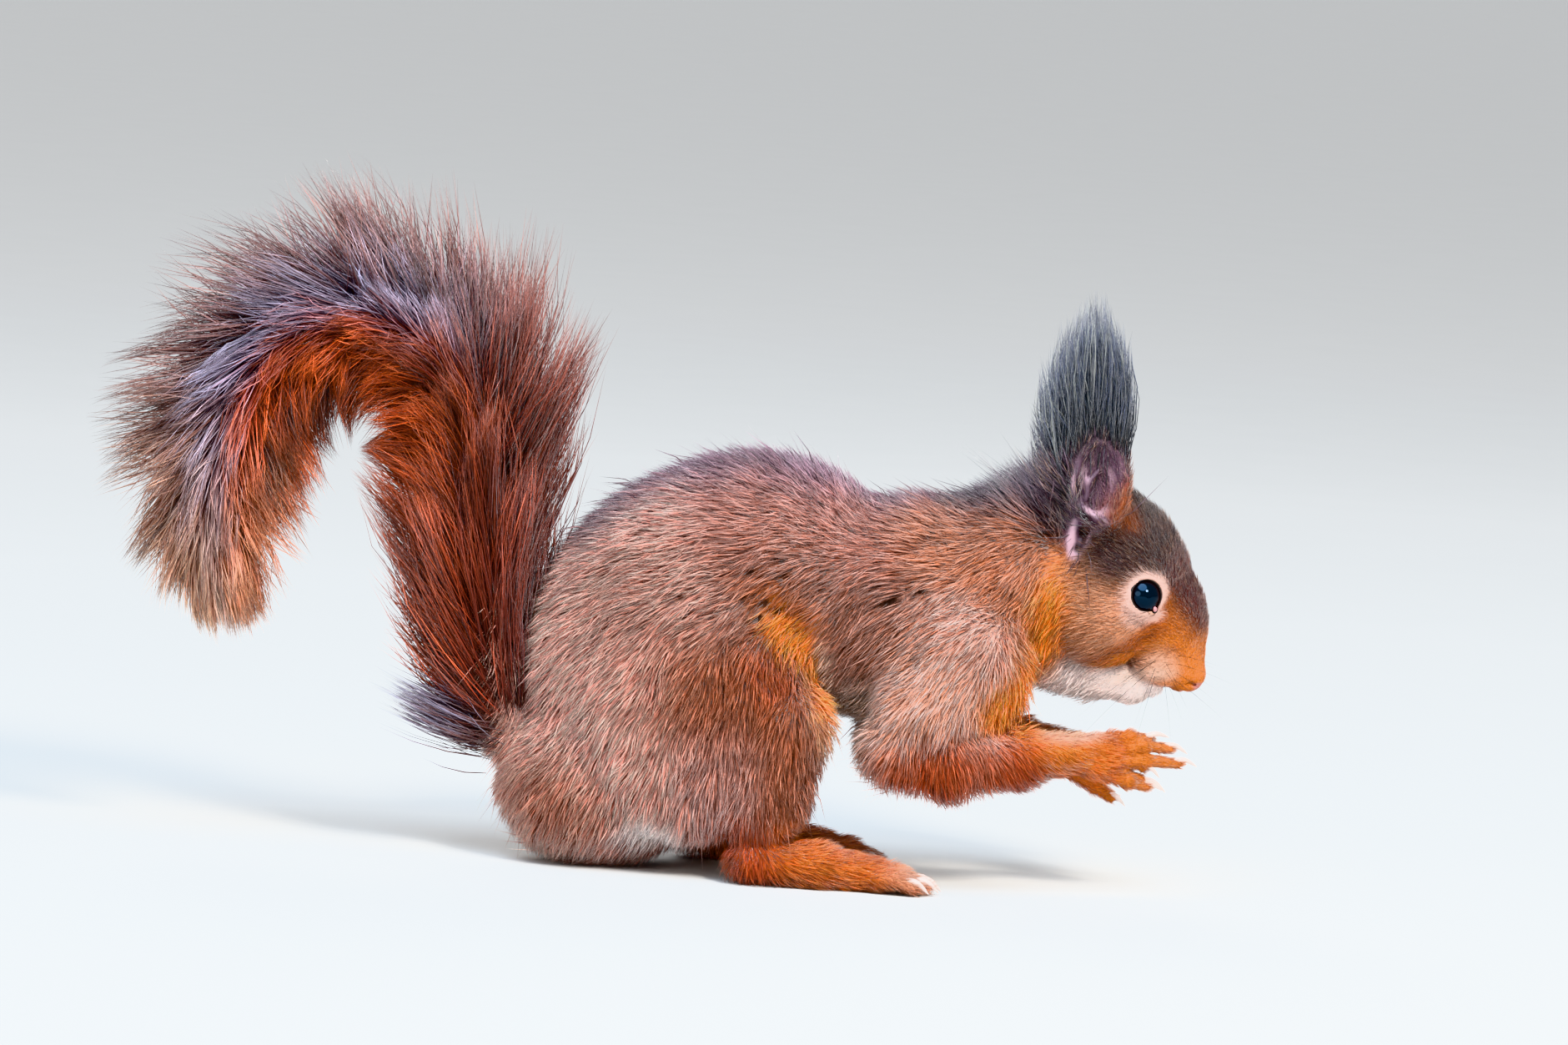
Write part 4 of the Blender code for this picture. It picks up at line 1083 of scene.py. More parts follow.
class Roots:
    """The skin as triangles, for the places where hair grows."""

    def __init__(self, skin):
        mesh = skin.data
        mesh.calc_loop_triangles()
        self.corners = read(mesh.loop_triangles, "vertices", 3, np.int32)
        loops = read(mesh.loop_triangles, "loops", 3, np.int32)
        self.points = read(mesh.vertices, "co", 3).astype(float) / MM + (MIDDLE_X, 0, 0)
        self.normals = read(mesh.vertices, "normal", 3).astype(float)
        self.uv = read(mesh.uv_layers["OFBake"].data, "uv", 2).astype(float)[loops]
        a, b, c = (self.points[self.corners[:, k]] for k in range(3))
        self.centres = (a + b + c) / 3
        self.areas = np.linalg.norm(np.cross(b - a, c - a), axis=1) / 2

    def sow(self, density, count, random):
        """Places, normals and map places of that many roots, spread by density and area."""
        heap = np.cumsum(density * self.areas)
        picks = (np.arange(count) + random.random(count)) / count * heap[-1]
        triangle = np.searchsorted(heap, picks)
        share = random.random((count, 2))
        over = share.sum(axis=1) > 1
        share[over] = 1 - share[over]
        share = np.concatenate([1 - share.sum(axis=1, keepdims=True), share], axis=1)
        corners = self.corners[triangle]
        place = (self.points[corners] * share[:, :, None]).sum(axis=1)
        normal = unit((self.normals[corners] * share[:, :, None]).sum(axis=1))
        return place, normal, (self.uv[triangle] * share[:, :, None]).sum(axis=1)


# ---------------------------------------------------------------- tufts

UV_PATCH = 0.003  # share of the map that one tuft covers
FLOOR_GAP = 0.05
TRIANGLES_PER_PIECE = 195000
# Name of a material slot for each part of the coat, handed on with its tufts.
SLOTS = {"legs": "coat_limb", "arms": "coat_limb", "head": "coat_head",
         **dict.fromkeys(("neck", "back", "rump", "flank", "belly"), "coat_back"),
         **dict.fromkeys("012", "coat_tail")}


def along_tuft(start, bend, end, t):
    """The points that far along each tuft, from 0 at its root to 1 at its tip."""
    return start * (1 - t) ** 2 + bend * 2 * t * (1 - t) + end * t ** 2


def spike_faces(rings):
    """Triangles of one closed three-sided spike with that many rings below its tip."""
    faces = [(0, 2, 1)]
    for low in range(0, 3 * rings - 3, 3):
        for corner in range(3):
            one, after = low + corner, low + (corner + 1) % 3
            faces += [(one, after, after + 3), (one, after + 3, one + 3)]
    low = 3 * (rings - 1)
    return np.array(faces + [(low + corner, low + (corner + 1) % 3, 3 * rings) for corner in range(3)])


def spikes(name, start, bend, end, width, sideways, lower, tip, uv, material, rings, replaced=(), slot=None):
    """Closed three-sided tapering spikes from start to end, past the bend or, with 1 ring, straight."""
    count, corners = len(start), 3 * rings + 1
    taper = {1: (1.0,), 2: (0.75, 1.0), 3: (0.7, 1.0, 0.72)}[rings]
    points, shades, places = (np.empty((count, corners, size)) for size in (3, 3, 2))
    for ring, t in enumerate(np.linspace(0, 1, rings + 1)[:-1]):
        middle = along_tuft(start, bend, end, t)
        forward = unit((bend - start) * (1 - t) + (end - bend) * t)
        side = flattened(sideways, forward)
        top = np.cross(forward, side)
        for corner, turn in enumerate(np.radians((90, 210, 330))):
            index = 3 * ring + corner
            reach = (width * taper[ring] / 2)[:, None]
            points[:, index] = middle + reach * (side * math.cos(turn) + top * math.sin(turn))
            places[:, index] = uv + UV_PATCH * np.array([(corner - 1) / 2, t - 0.5])
        dim = 0.62 + 0.38 * min(1, 2.5 * t)
        shades[:, 3 * ring:3 * ring + 3] = (mix(lower, tip, smoothstep(0.3, 1.05, t)) * dim)[:, None]
    points[:, -1], shades[:, -1], places[:, -1] = end, tip, uv + (0, UV_PATCH / 2)
    faces = (spike_faces(rings)[None] + (np.arange(count) * corners)[:, None, None]).reshape(-1, 3)
    points = points.reshape(-1, 3)
    points[:, 2] = np.maximum(points[:, 2], FLOOR_GAP)
    obj = new_piece(name, points, faces, material, replaced)
    add_colours(obj.data, "hair", shades.reshape(-1, 3))
    uvs = np.clip(places.reshape(-1, 2), 0, 1)[faces.ravel()]
    obj.data.uv_layers.new(name="OFBake").data.foreach_set("uv", uvs.astype(np.float32).ravel())
    return obj


def split_and_spike(name, rings, groups, arrays, material):
    """Makes each group of tufts a piece of its own, in as many pieces as keep each one light."""
    most = TRIANGLES_PER_PIECE // len(spike_faces(rings))
    made = []
    for label in sorted(set(groups)):
        chosen = np.flatnonzero(groups == label)
        pieces = math.ceil(len(chosen) / most)
        for part in range(pieces):
            rows = chosen[part::pieces]
            title = f"{name}_{label}" if pieces == 1 else f"{name}_{label}_{part + 1}"
            own = [array[rows] for array in arrays]
            made.append(spikes(title, *own, material, rings, slot=SLOTS[label]))
    return made


# How the body's hair strays from the comb: reach of the drift in mm, its seed and its strength.
DRIFTS = ((16, 3, 0.20), (5, 4, 0.16), (2.2, 6, 0.12))
WIDEST = 38.3  # the coat keeps within this of the middle plane
ROOT_DEPTH = 0.25
# Strays: their share of the long tufts, how much further they reach, and the shortest that may stray.
STRAYS, STRAY_REACH, STRAY_FROM = 0.02, 1.6, 6.5
# Ticking of the head: shares of pale and of dark tips, and the height that the dark ones begin at.
PALE_TICKS, DARK_TICKS, CHIN_TOP = 0.24, 0.14, 58


def make_body_coat(roots):
    """Bent guard tufts over an undercoat of finer, straight ones."""
    random = np.random.default_rng(SEED)
    count = fewer(sizes().coat_count + sizes().undercoat_count)
    density = combed(comb_weights(roots.centres), 6)
    density *= 1 - bareness(roots.centres)
    density *= smoothstep(-46, -40, roots.centres[:, 0])
    density *= smoothstep(0.3, 1.5, roots.centres[:, 2])
    place, normal, uv = roots.sow(density, count, random)
    weights = comb_weights(place)
    way = combed(weights, 3)
    way[:, 1] *= np.sign(place[:, 1])
    way = unit(way) + sum(strength * wander(place, scale, seed) for scale, seed, strength in DRIFTS)
    way += 0.10 * random.normal(size=(count, 3))
    way = flattened(way, normal)
    long = combed(weights, 4) * random.uniform(0.75, 1.12, count)
    rise = combed(weights, 5) * random.uniform(0.55, 1.15, count)
    stray = (random.random(count) < STRAYS) & (long > STRAY_FROM)
    long[stray] *= STRAY_REACH
    rise[stray] *= STRAY_REACH
    run = np.sqrt(np.maximum(long ** 2 - rise ** 2, 0.1))
    start = place - normal * ROOT_DEPTH
    end = place + way * run[:, None] + normal * rise[:, None]
    end[:, 1] = np.clip(end[:, 1], -WIDEST, WIDEST)
    bend = place + way * (0.32 * run)[:, None] + normal * (0.72 * rise)[:, None]
    width = sizes().hair_width * np.clip(long / 8, 0.45, 1.0) * random.uniform(0.6, 1.2, count)
    lower, tip = vary(*coat_colours(place, weights), place, random)
    groups = np.array([row[0] for row in COMB])[weights.argmax(axis=1)]
    ticked = (groups == "head") & (random.random(count) < PALE_TICKS)
    tip[ticked] = 0.45 * tip[ticked] + 0.4 * palette(["cheek_tip"])
    dark = (groups == "head") & (random.random(count) < DARK_TICKS) & (place[:, 2] > CHIN_TOP)
    tip[dark], lower[dark] = 0.5 * tip[dark], 0.6 * lower[dark]
    material = hair_material("short_guard_hair", 0.55, 0.25)
    arrays = (start, bend, end, width, np.cross(way, normal), lower, tip, uv)
    kept = ~over_parting(place, bend, end, random)
    guard = random.random(count) < sizes().coat_count / (sizes().coat_count + sizes().undercoat_count)
    for name, rings, rows in (("coat", 2, kept & guard), ("undercoat", 1, kept & ~guard)):
        split_and_spike(name, rings, groups[rows], [array[rows] for array in arrays], material)


PARTED = 0.84  # of the tufts over a parting are left out


def over_parting(place, bend, end, random):
    """Tufts that would lie over a parting, nearly all of which are left out."""
    over = np.zeros(len(place), bool)
    for centre, half_axes, pitch in PARTINGS:
        for share in (0.3, 0.55, 0.8, 1.0):
            over |= soft_patch(along_tuft(place, bend, end, share), centre, half_axes, pitch, 0.25) > 0.5
    return over & (random.random(len(place)) < PARTED)


def vary(lower, tip, place, random, pale=0.45):
    """Breaks the coat's colours from tuft to tuft: some tips stay dark, others run pale."""
    count = len(place)
    share = np.clip(random.random(count) ** (1 / pale - 1), 0, 1)[:, None]
    light = np.exp(0.26 * random.normal(size=(count, 1)) + 0.16 * wander(place, 9, 11)[:, :1])
    return lower * light, mix(lower, tip, share) * light


WISP_SIZE = 7  # tufts in each wisp
TAIL_SPAN = 1.02  # the length of bone that tufts root along, against the whole
TAIL_REACH = 1.13  # how far the longest tufts go, against the bush's edge
TAIL_THIRDS = (0.33, 0.66)
BUSH_STATIONS = 13 / 1.16  # rows of the bush that one length of the bone spans


def make_tail_coat(roots):
    """Long tufts from the bone line out to the bush's edge, gathered in wisps towards their tips."""
    random = np.random.default_rng(SEED + 1)
    count = fewer(sizes().tail_count)
    wisps = count // WISP_SIZE
    last = len(TAIL_BUSH) - 1
    along = random.random(wisps) * TAIL_SPAN
    around = random.random(wisps) * math.tau
    reach = 0.22 + 0.86 * random.random(wisps) ** 0.62
    tip_along, tip_around, lock_reach = gather_in_locks(along, around, random)
    reach *= 1 + (lock_reach - 1) * smoothstep(0.4, 0.8, reach)
    pick = np.arange(count) % wisps
    s = np.clip(along[pick] + random.normal(0, 0.022, count), 0.0, 1.0)
    phi = around[pick] + random.normal(0, 0.22, count)
    fill = np.clip(reach[pick] + random.normal(0, 0.04, count), 0.12, 1.1)
    bone_places = s * (len(TAIL_BONE) - 2.0) + 1.0
    bone = curve_through(TAIL_BONE, bone_places)
    ahead = curve_through(TAIL_BONE, bone_places + 0.1) - bone
    forward = unit(upright(ahead[:, 0], ahead[:, 1]))
    forward[s > 0.99] = (-0.05, 0, -1.0)
    outward = upright(forward[:, 2], -forward[:, 0])
    radial = outward * np.cos(phi)[:, None] + np.array([0, 1, 0]) * np.sin(phi)[:, None]
    start = upright(bone[:, 0], bone[:, 1]) + radial * (bone[:, 2] - 0.4)[:, None]
    # Each tuft ends further along the bush than it starts, and the more so at the tip.
    wisp_place = tip_along + 0.095 + 0.05 * along + 0.015 * random.normal(size=wisps)
    wisp_place += np.where(along > 0.9, 0.09 * random.random(wisps) ** 2, 0)
    tip_place = np.clip((wisp_place[pick] + 0.008 * random.normal(size=count)) * BUSH_STATIONS, 0, last)
    tip_phi = tip_around[pick] + random.normal(0, 0.06, count)
    edge = bush_point(tip_place, tip_phi)
    centre = bush_point(tip_place, tip_phi, middle=True)
    # The bush stands out a little more inside its rise and outside its fall.
    outer = np.cos(tip_phi) > 0
    fuller = 1 + 0.12 * ~outer * smoothstep(1.5, 2.5, tip_place) * smoothstep(6.5, 4.5, tip_place)
    fuller += 0.10 * outer * smoothstep(8.5, 10.5, tip_place)
    far = np.minimum(fill * fuller * random.uniform(0.94, 1.04, count), TAIL_REACH)
    end = centre + (edge - centre) * far[:, None]
    end += wander(end, 12, 21) * 1.6 + random.normal(0, 0.35, (count, 3))
    chord = end - start
    sway = radial * 0.10 + 0.09 * wander(start + end, 22, 23) + 0.06 * random.normal(size=(count, 3))
    bend = start + chord * 0.5 + sway * np.linalg.norm(chord, axis=1, keepdims=True)
    width = sizes().tail_hair_width * random.uniform(0.65, 1.3, count)
    sideways = unit(np.cross(chord, radial) + 0.3 * random.normal(size=(count, 3)))
    lower, tip = vary(*tail_colours(s, tip_phi, fill, end), end, random, 0.55)
    streak = np.exp(0.32 * random.normal(size=wisps))[pick, None]
    arrays = [np.concatenate(pair) for pair in zip(
        (start, bend, end, width, sideways, lower * streak, tip * streak), tail_root_brush(random))]
    arrays.append(nearest_uv(roots, arrays[0]))
    groups = np.digitize(np.append(s, np.zeros(len(arrays[0]) - count)), TAIL_THIRDS).astype(str)
    made = split_and_spike("coat_tail", 3, groups, arrays, hair_material("long_tail_hair", 0.5, 0.2))
    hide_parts(*TAIL_NODES)


TAIL_LOCKS = 170
GAP_ALONG, GAP_AROUND = 13, 1.6  # how much a gap along the bone and one round it count


def gather_in_locks(along, around, random):
    """Draws each wisp's tip towards the nearest lock's, and gives the reach of that lock."""
    lock_along, lock_around = random.random(TAIL_LOCKS) * TAIL_SPAN, random.random(TAIL_LOCKS) * math.tau
    turn = (lock_around[None] - around[:, None] + math.pi) % math.tau - math.pi
    gap = (GAP_ALONG * (lock_along[None] - along[:, None])) ** 2 + (GAP_AROUND * turn) ** 2
    nearest = gap.argmin(axis=1)
    tip_along = along + 0.5 * (lock_along[nearest] - along)
    tip_around = around + 0.5 * turn[np.arange(len(along)), nearest]
    return tip_along, tip_around, random.uniform(0.84, 1.12, TAIL_LOCKS)[nearest]


BRUSH_TUFTS = 700
BRUSH_ROOT = np.array((-41, 0, 32))
BRUSH_WAY = (-29, 0, 9)  # from the brush's root to its end


def tail_root_brush(random):
    """The small dark brush that stands back from the root of the tail."""
    count = fewer(BRUSH_TUFTS)
    spread = random.normal(size=(count, 2))
    start = BRUSH_ROOT + np.stack([2 * spread[:, 0], 4 * spread[:, 1], 3 * random.normal(size=count)], 1)
    reach = random.uniform(0.35, 1.0, count)[:, None]
    end = start + reach * BRUSH_WAY
    end += np.stack([random.normal(0, 1.5, count), 2.5 * spread[:, 1] * reach[:, 0],
                     3.2 * random.normal(size=count) * (1.3 - reach[:, 0])], 1)
    bend = 0.5 * (start + end) - (0, 0, 2.5)
    width = sizes().tail_hair_width * random.uniform(0.7, 1.2, count)
    sideways = unit(np.cross(end - start, (0, 1, 0)) + 0.3 * random.normal(size=(count, 3)))
    lower = np.repeat(palette(["tail_brown"]) * 0.8, count, axis=0)
    tip = np.repeat(palette(["tail_grey_tip"]) * 0.7, count, axis=0)
    lower, tip = vary(lower, tip, end, random, 0.5)
    return start, bend, end, width, sideways, lower, tip


BUSH_MIDDLE = 0.46  # from the inner edge to the outer one


def bush_point(places, phi, middle=False):
    """A point on the bush's edge, or the bone's point inside it."""
    inner = curve_through([row[0] for row in TAIL_BUSH], places)
    outer = curve_through([row[1] for row in TAIL_BUSH], places)
    half_width = curve_through([(row[2],) for row in TAIL_BUSH], places)[:, 0]
    centre = mix(inner, outer, BUSH_MIDDLE)
    if middle:
        return upright(centre[:, 0], centre[:, 1])
    towards = np.where(np.cos(phi)[:, None] > 0, outer - centre, centre - inner)
    flat = centre + towards * np.cos(phi)[:, None]
    return np.stack([flat[:, 0], half_width * np.sin(phi), flat[:, 1]], 1)


# Painted shadow under the tail's bend: x, z, reach along and reach up.
TAIL_PAINTED_SHADOWS = ((-86, 103, 9, 12), (-96, 88, 6, 14))


def tail_colours(s, phi, fill, end):
    """Rust inside the curl, brown to mauve outside, a painted grey sheen on the bone line, painted shadow in
    the bend, straw at the end.
    """
    outside = np.cos(phi) * fill + 0.16 * wander(end, 8, 5)[:, 0] + 0.25 * smoothstep(0.60, 0.90, s)
    lower, tip = palette(["tail_red"]), palette(["tail_red_tip"])
    inner = smoothstep(-0.20, -0.75, outside)
    light = 0.42 + 0.95 * inner + 0.38 * smoothstep(0.34, 0.52, s) + 0.85 * smoothstep(0.58, 0.74, s)
    lower, tip = lower * light[:, None], tip * light[:, None]
    outer = smoothstep(-0.10, 0.42, outside)
    bending = smoothstep(0.22, 0.48, s)
    lower, tip = blend_coat(lower, tip, "tail_brown", outer * (1 - bending))
    lower, tip = blend_coat(lower, tip, "tail_mauve", outer * bending)
    lower, tip = blend_coat(lower, tip, "tail_brown", 0.7 * smoothstep(0.28, 0.08, s))
    tip = tip * (1 - 0.4 * outer * smoothstep(0.75, 1.0, fill))[:, None]
    # Painted sheen: a grey-blue band along the bone line, on the bend and beyond.
    grey = np.exp(-((outside - 0.30) / 0.28) ** 2) * smoothstep(0.30, 0.45, s) * 0.75
    lower, tip = blend_coat(lower, tip, "tail_grey", grey)
    # Painted shadow: darkens the inner side of the tail's bend.
    bend = sum(np.exp(-(((end[:, 0] - x) / wide) ** 2 + ((end[:, 2] - z) / high) ** 2))
               for x, z, wide, high in TAIL_PAINTED_SHADOWS)
    bend *= smoothstep(0.30, -0.15, np.cos(phi) * fill) * 0.9
    lower, tip = blend_coat(lower, tip, "tail_dark", bend)
    return blend_coat(lower, tip, "tail_end", smoothstep(0.68, 1.0, s) * 0.7)


TAIL_FRONT = -34


def nearest_uv(roots, places):
    """Map place of the skin's triangle whose centre lies nearest each place."""
    near = roots.centres[:, 0] < TAIL_FRONT
    centres = roots.centres[near]
    middles = roots.uv[near].mean(axis=1)
    tree = KDTree(len(centres))
    for index, centre in enumerate(centres):
        tree.insert(centre, index)
    tree.balance()
    return middles[[tree.find(place)[1] for place in places]]


# The ear tuft's outline: height, and its reach back and forward of the ear's middle there.
TUFT_HEIGHTS = (100, 113, 123, 133, 141, 150)
TUFT_BACK = (15.5, 13.6, 11.6, 10.4, 8.4, 5.4)
TUFT_FRONT = (9.4, 9.8, 10.0, 9.4, 7.6, 5.0)
TUFT_TOP = 150.0
EAR_LOCKS = 150
EAR_HAIR_WIDTH = 0.24


def make_ear_tufts(roots):
    """A flame of long hair off the upper and back edge of each ear."""
    random = np.random.default_rng(SEED + 2)
    count = fewer(2 * sizes().ear_count)
    x, y, z = roots.centres.T
    density = smoothstep(96, 110, z + 0.7 * (103 - x)) * (np.abs(y) > 9) * (x > 92)
    density *= 1 - 0.97 * soft_patch(roots.centres, *EAR_CUP, 0, 0.1)
    density *= np.where((z < 110) & (np.abs(y) > 14.5) & (x > 96), 0.04, 1)
    place, normal, uv = roots.sow(density, count, random)
    x, y, z = place.T
    across = np.clip((x - 103) / 8.8 + random.normal(0, 0.28, count), -1.15, 1.05)
    tallest = TUFT_TOP - 7 * across ** 2 - 5 * np.clip(-across - 0.2, 0, 1)
    high = 1 - random.random(count) ** 0.9 * 0.8
    end_z = z + 5 + (tallest - z - 5) * high
    back, front = (np.interp(end_z, TUFT_HEIGHTS, reach) for reach in (TUFT_BACK, TUFT_FRONT))
    half_width = np.where(across < 0, back, front)
    end_x = 102.4 - 0.035 * (end_z - 113) + across * half_width + random.normal(0, 1.1, count)
    behind = 2.6 * smoothstep(113, 106, z) * (x > 96)
    end_y = np.sign(y) * (16.0 - behind + 0.05 * (end_z - 113) + 0.5 * (np.abs(y) - 14)
                          + random.normal(0, 1.4, count))
    end = np.stack([end_x, end_y, end_z], 1) + 0.8 * wander(place * 2, 6, 31)
    locks = end[random.choice(count, EAR_LOCKS, replace=False)] * (1, 1, 1.012)
    nearest = ((end[:, None] - locks[None]) ** 2 @ (1, 0.5, 0.12)).argmin(axis=1)
    end += (locks[nearest] - end) * (0.55, 0.55, 0.25)
    start = place - normal * 0.2
    lift = np.linalg.norm(end - start, axis=1, keepdims=True)
    sway = 0.08 * lift * random.normal(size=(count, 3))
    bend = 0.5 * (start + end) + normal * (0.5, 0.3, 1) * (0.10 * lift) + sway
    width = EAR_HAIR_WIDTH * random.uniform(0.7, 1.25, count)
    sideways = unit(np.cross(end - start, (0, 1, 0)) + 0.2 * random.normal(size=(count, 3)))
    colours_here = blend_coat(palette(["ear_tuft"]), palette(["ear_tuft_tip"]), "ear_fur",
                              smoothstep(122, 106, end_z) * 0.6)
    lower, tip = vary(*colours_here, end, random, 0.5)
    grizzled = 0.03 + 0.22 * smoothstep(0.0, -0.9, across) + 0.2 * smoothstep(138, 148, end_z)
    pale = random.random(count) < grizzled
    tip[pale] = 0.4 * tip[pale] + 0.34 * palette(["rump_tip"])
    spikes("coat_ear_tufts", start, bend, end, width, sideways, lower, tip, uv,
           hair_material("ear_tuft_hair", 0.5, 0.2), 3, ("ear_tuft_right", "ear_tuft_left"), "coat_tuft")


# ---------------------------------------------------------------- eyes

EYE_ROWS, EYE_COLUMNS = 28, 40
CORNEA_BULGE, CORNEA_SPREAD = 0.035, 0.55  # against the eye's radius, and in radians


def eyeball():
    """Points and faces of an eye of radius 1 that looks up, and how near its rim each point lies."""
    points, rim, faces = [(0, 0, 1)], [0.0], []
    for row in range(1, EYE_ROWS):
        angle = math.pi * row / EYE_ROWS
        bulge = 1 + CORNEA_BULGE * math.exp(-(angle / CORNEA_SPREAD) ** 2)
        wide = bulge * math.sin(angle)
        for step in range(EYE_COLUMNS):
            turned = math.tau * step / EYE_COLUMNS
            points.append((wide * math.cos(turned), wide * math.sin(turned), bulge * math.cos(angle)))
            rim.append(math.sin(min(angle, math.pi / 2)))
    last = len(points)
    for step in range(EYE_COLUMNS):
        after = (step + 1) % EYE_COLUMNS
        faces.append((0, 1 + step, 1 + after))
        for low in range(1, last - EYE_COLUMNS, EYE_COLUMNS):
            faces.append((low + step, low + EYE_COLUMNS + step, low + EYE_COLUMNS + after, low + after))
        faces.append((last - EYE_COLUMNS + after, last - EYE_COLUMNS + step, last))
    return points + [(0, 0, -1)], faces, rim + [1.0]


def make_eyes():
    material = eye_material()
    points, faces, rim = eyeball()
    for side in SIDES:
        turn = Vector(on_side(EYE_AXIS, side)).normalized().to_track_quat("Z", "Y").to_matrix()
        centre = Vector(on_side(EYE_CENTRE, side))
        mesh = bpy.data.meshes.new("eyeball_" + side)
        placed = [in_frame(centre + turn @ (Vector(point) * EYE_RADIUS)) for point in points]
        mesh.from_pydata(placed, [], faces)
        mesh.shade_smooth()
        mesh.materials.append(material)
        add_numbers(mesh, "rim", np.array(rim))
        finish_piece(link("eyeball_" + side, mesh), ["eye_" + side])


LID_CORNER = math.radians(307)  # round the eye from ahead, upwards
LID_STEPS = 48
LID_TONE, CORNER_TONE = "1E120E", "D99A9C"
CORNER_FLESH = ((3.6, 0.3), (3.95, 0.55), (4.3, 0.5))  # distance from the eye's axis, and radius


def lid_point(side, turn, wide):
    """A point on the lid's edge, a little proud of the eyeball and more so behind."""
    centre, axis = eye_place(side)
    forward, up = (unit(np.array(way) - axis * (axis @ way)) for way in ((1, 0, 0), (0, 0, 1)))
    deep = math.sqrt(EYE_RADIUS ** 2 - min(wide, 4.4) ** 2) + 0.55 - 0.3 * math.cos(turn)
    return centre + axis * deep + wide * (forward * math.cos(turn) + up * math.sin(turn))


def lid_margin(side):
    line = []
    for turn in np.linspace(0, math.tau, LID_STEPS + 1):
        drawn_out = math.exp(-((turn - LID_CORNER) / 0.26) ** 2)
        line.append((*lid_point(side, turn, EYE_OPENING + 0.28 + 0.7 * drawn_out), 0.4 - 0.1 * drawn_out))
    return line


def lid_flesh(side):
    return [(*lid_point(side, LID_CORNER, wide), radius) for wide, radius in CORNER_FLESH]


def make_lids():
    """A thin dark margin round each eye, drawn out at the front corner, and that corner's pink flesh."""
    for name, line, finish, tone in (("lid_margins", lid_margin, "dark_bare_lid_margin", LID_TONE),
                                     ("lid_corners", lid_flesh, "pink_lid_corner", CORNER_TONE)):
        tubes(name, [line(side) for side in SIDES], bare_material(finish, tone), 8)


# ---------------------------------------------------------------- claws and whiskers, by geometry nodes

def tube_tree(name):
    """Geometry nodes: a round tube along each curve, as thick as the curve's own radius."""
    tree = bpy.data.node_groups.new(name, "GeometryNodeTree")
    given = {}
    for title, kind in (("Curves", "Geometry"), ("Thickness", "Float"), ("Material", "Material"),
                        ("Sides", "Int")):
        socket = tree.interface.new_socket(title, in_out="INPUT", socket_type="NodeSocket" + kind)
        given[title] = socket.identifier
    tree.interface.new_socket("Geometry", in_out="OUTPUT", socket_type="NodeSocketGeometry")
    group = node(tree, "NodeGroupInput").outputs
    profile = node(tree, "GeometryNodeCurvePrimitiveCircle", inputs={
        "Resolution": group["Sides"], "Radius": group["Thickness"]})
    own_radius = node(tree, "GeometryNodeInputRadius")
    tube = node(tree, "GeometryNodeCurveToMesh", inputs={
        "Curve": group["Curves"], "Profile Curve": profile.outputs["Curve"],
        "Scale": own_radius.outputs["Radius"], "Fill Caps": True})
    real = node(tree, "GeometryNodeRealizeInstances", inputs={"Geometry": tube.outputs["Mesh"]})
    dressed = node(tree, "GeometryNodeSetMaterial", inputs={
        "Geometry": real.outputs["Geometry"], "Material": group["Material"]})
    node(tree, "NodeGroupOutput", inputs={"Geometry": dressed.outputs["Geometry"]})
    return tree, given


def tubes(name, lines, material, sides):
    """One mesh of tapering tubes. A line is a list of points in mm, each with its radius."""
    curve = bpy.data.curves.new(name + "_lines", "CURVE")
    curve.dimensions = "3D"
    for line in lines:
        spline = curve.splines.new("POLY")
        spline.points.add(len(line) - 1)
        for point, (x, y, z, radius) in zip(spline.points, line):
            point.co = (*in_frame((x, y, z)), 1)
            point.radius = radius
    guide = link(name + "_guide", curve)
    modifier = guide.modifiers.new("tubes", "NODES")
    modifier.node_group, given = tube_tree(name + "_tubes")
    for socket, value in (("Thickness", MM), ("Material", material), ("Sides", sides)):
        modifier[given[socket]] = value
    bpy.context.view_layer.update()
    graph = bpy.context.evaluated_depsgraph_get()
    mesh = bpy.data.meshes.new_from_object(guide.evaluated_get(graph), depsgraph=graph)
    mesh.name = name
    bpy.data.objects.remove(guide)
    mesh.shade_smooth()
    return finish_piece(link(name, mesh), ())


CLAW_STEPS, CLAW_TIP, CLAW_ARCH = 6, 0.07, 0.22  # lengths, radius at the tip, and arch against its reach
FINGER_CLAW, TOE_CLAW = 1.0, 1.1  # radius at the root


def curved_claw(root, tip, radius):
    """A claw from its root to its tip, arched above the straight line between them."""
    reach = np.linalg.norm(tip - root)
    line = []
    for t in np.linspace(0, 1, CLAW_STEPS + 1):
        place = root + (tip - root) * t
        place[2] += CLAW_ARCH * reach * math.sin(math.pi * t) * (1 - 0.3 * t)
        line.append((*place, max(CLAW_TIP, radius * (1 - t) ** 0.6)))
    return line


def make_claws():
    """Each claw starts inside its finger or toe."""
    lines = []
    for side in SIDES:
        for finger in FINGERS:
            tip, end = (np.array(hand_point(offset, side)) for offset in finger[2:])
            lines.append(curved_claw(tip - 0.25 * (end - tip), end, FINGER_CLAW))
        for index in range(len(TOE_SPREAD)):
            tip, end = (np.array(place) for place in toe_points(index, side)[2:])
            lines.append(curved_claw(tip - 0.3 * (end - tip) + (0, 0, 0.7), end, TOE_CLAW))
    tubes("claws", lines, claw_material(), 8)


WHISKER_STEPS = 8
WHISKER_ROWS, WHISKERS_IN_ROW, BROW_HAIRS = 4, 4, 3
WHISKER_DROOP = 0.10
FURTHEST = (138.5, 35.5)  # how far ahead and out the whiskers may go
FRONT_WHISKER, FRONT_BROW_HAIR = np.array((126.0, 6.4, 61.5)), np.array((121.5, 9.5, 83.0))
WHISKER_BEHIND, WHISKER_BELOW = np.array((-2.3, 0.9, 0.3)), np.array((0, 0, -2.0))


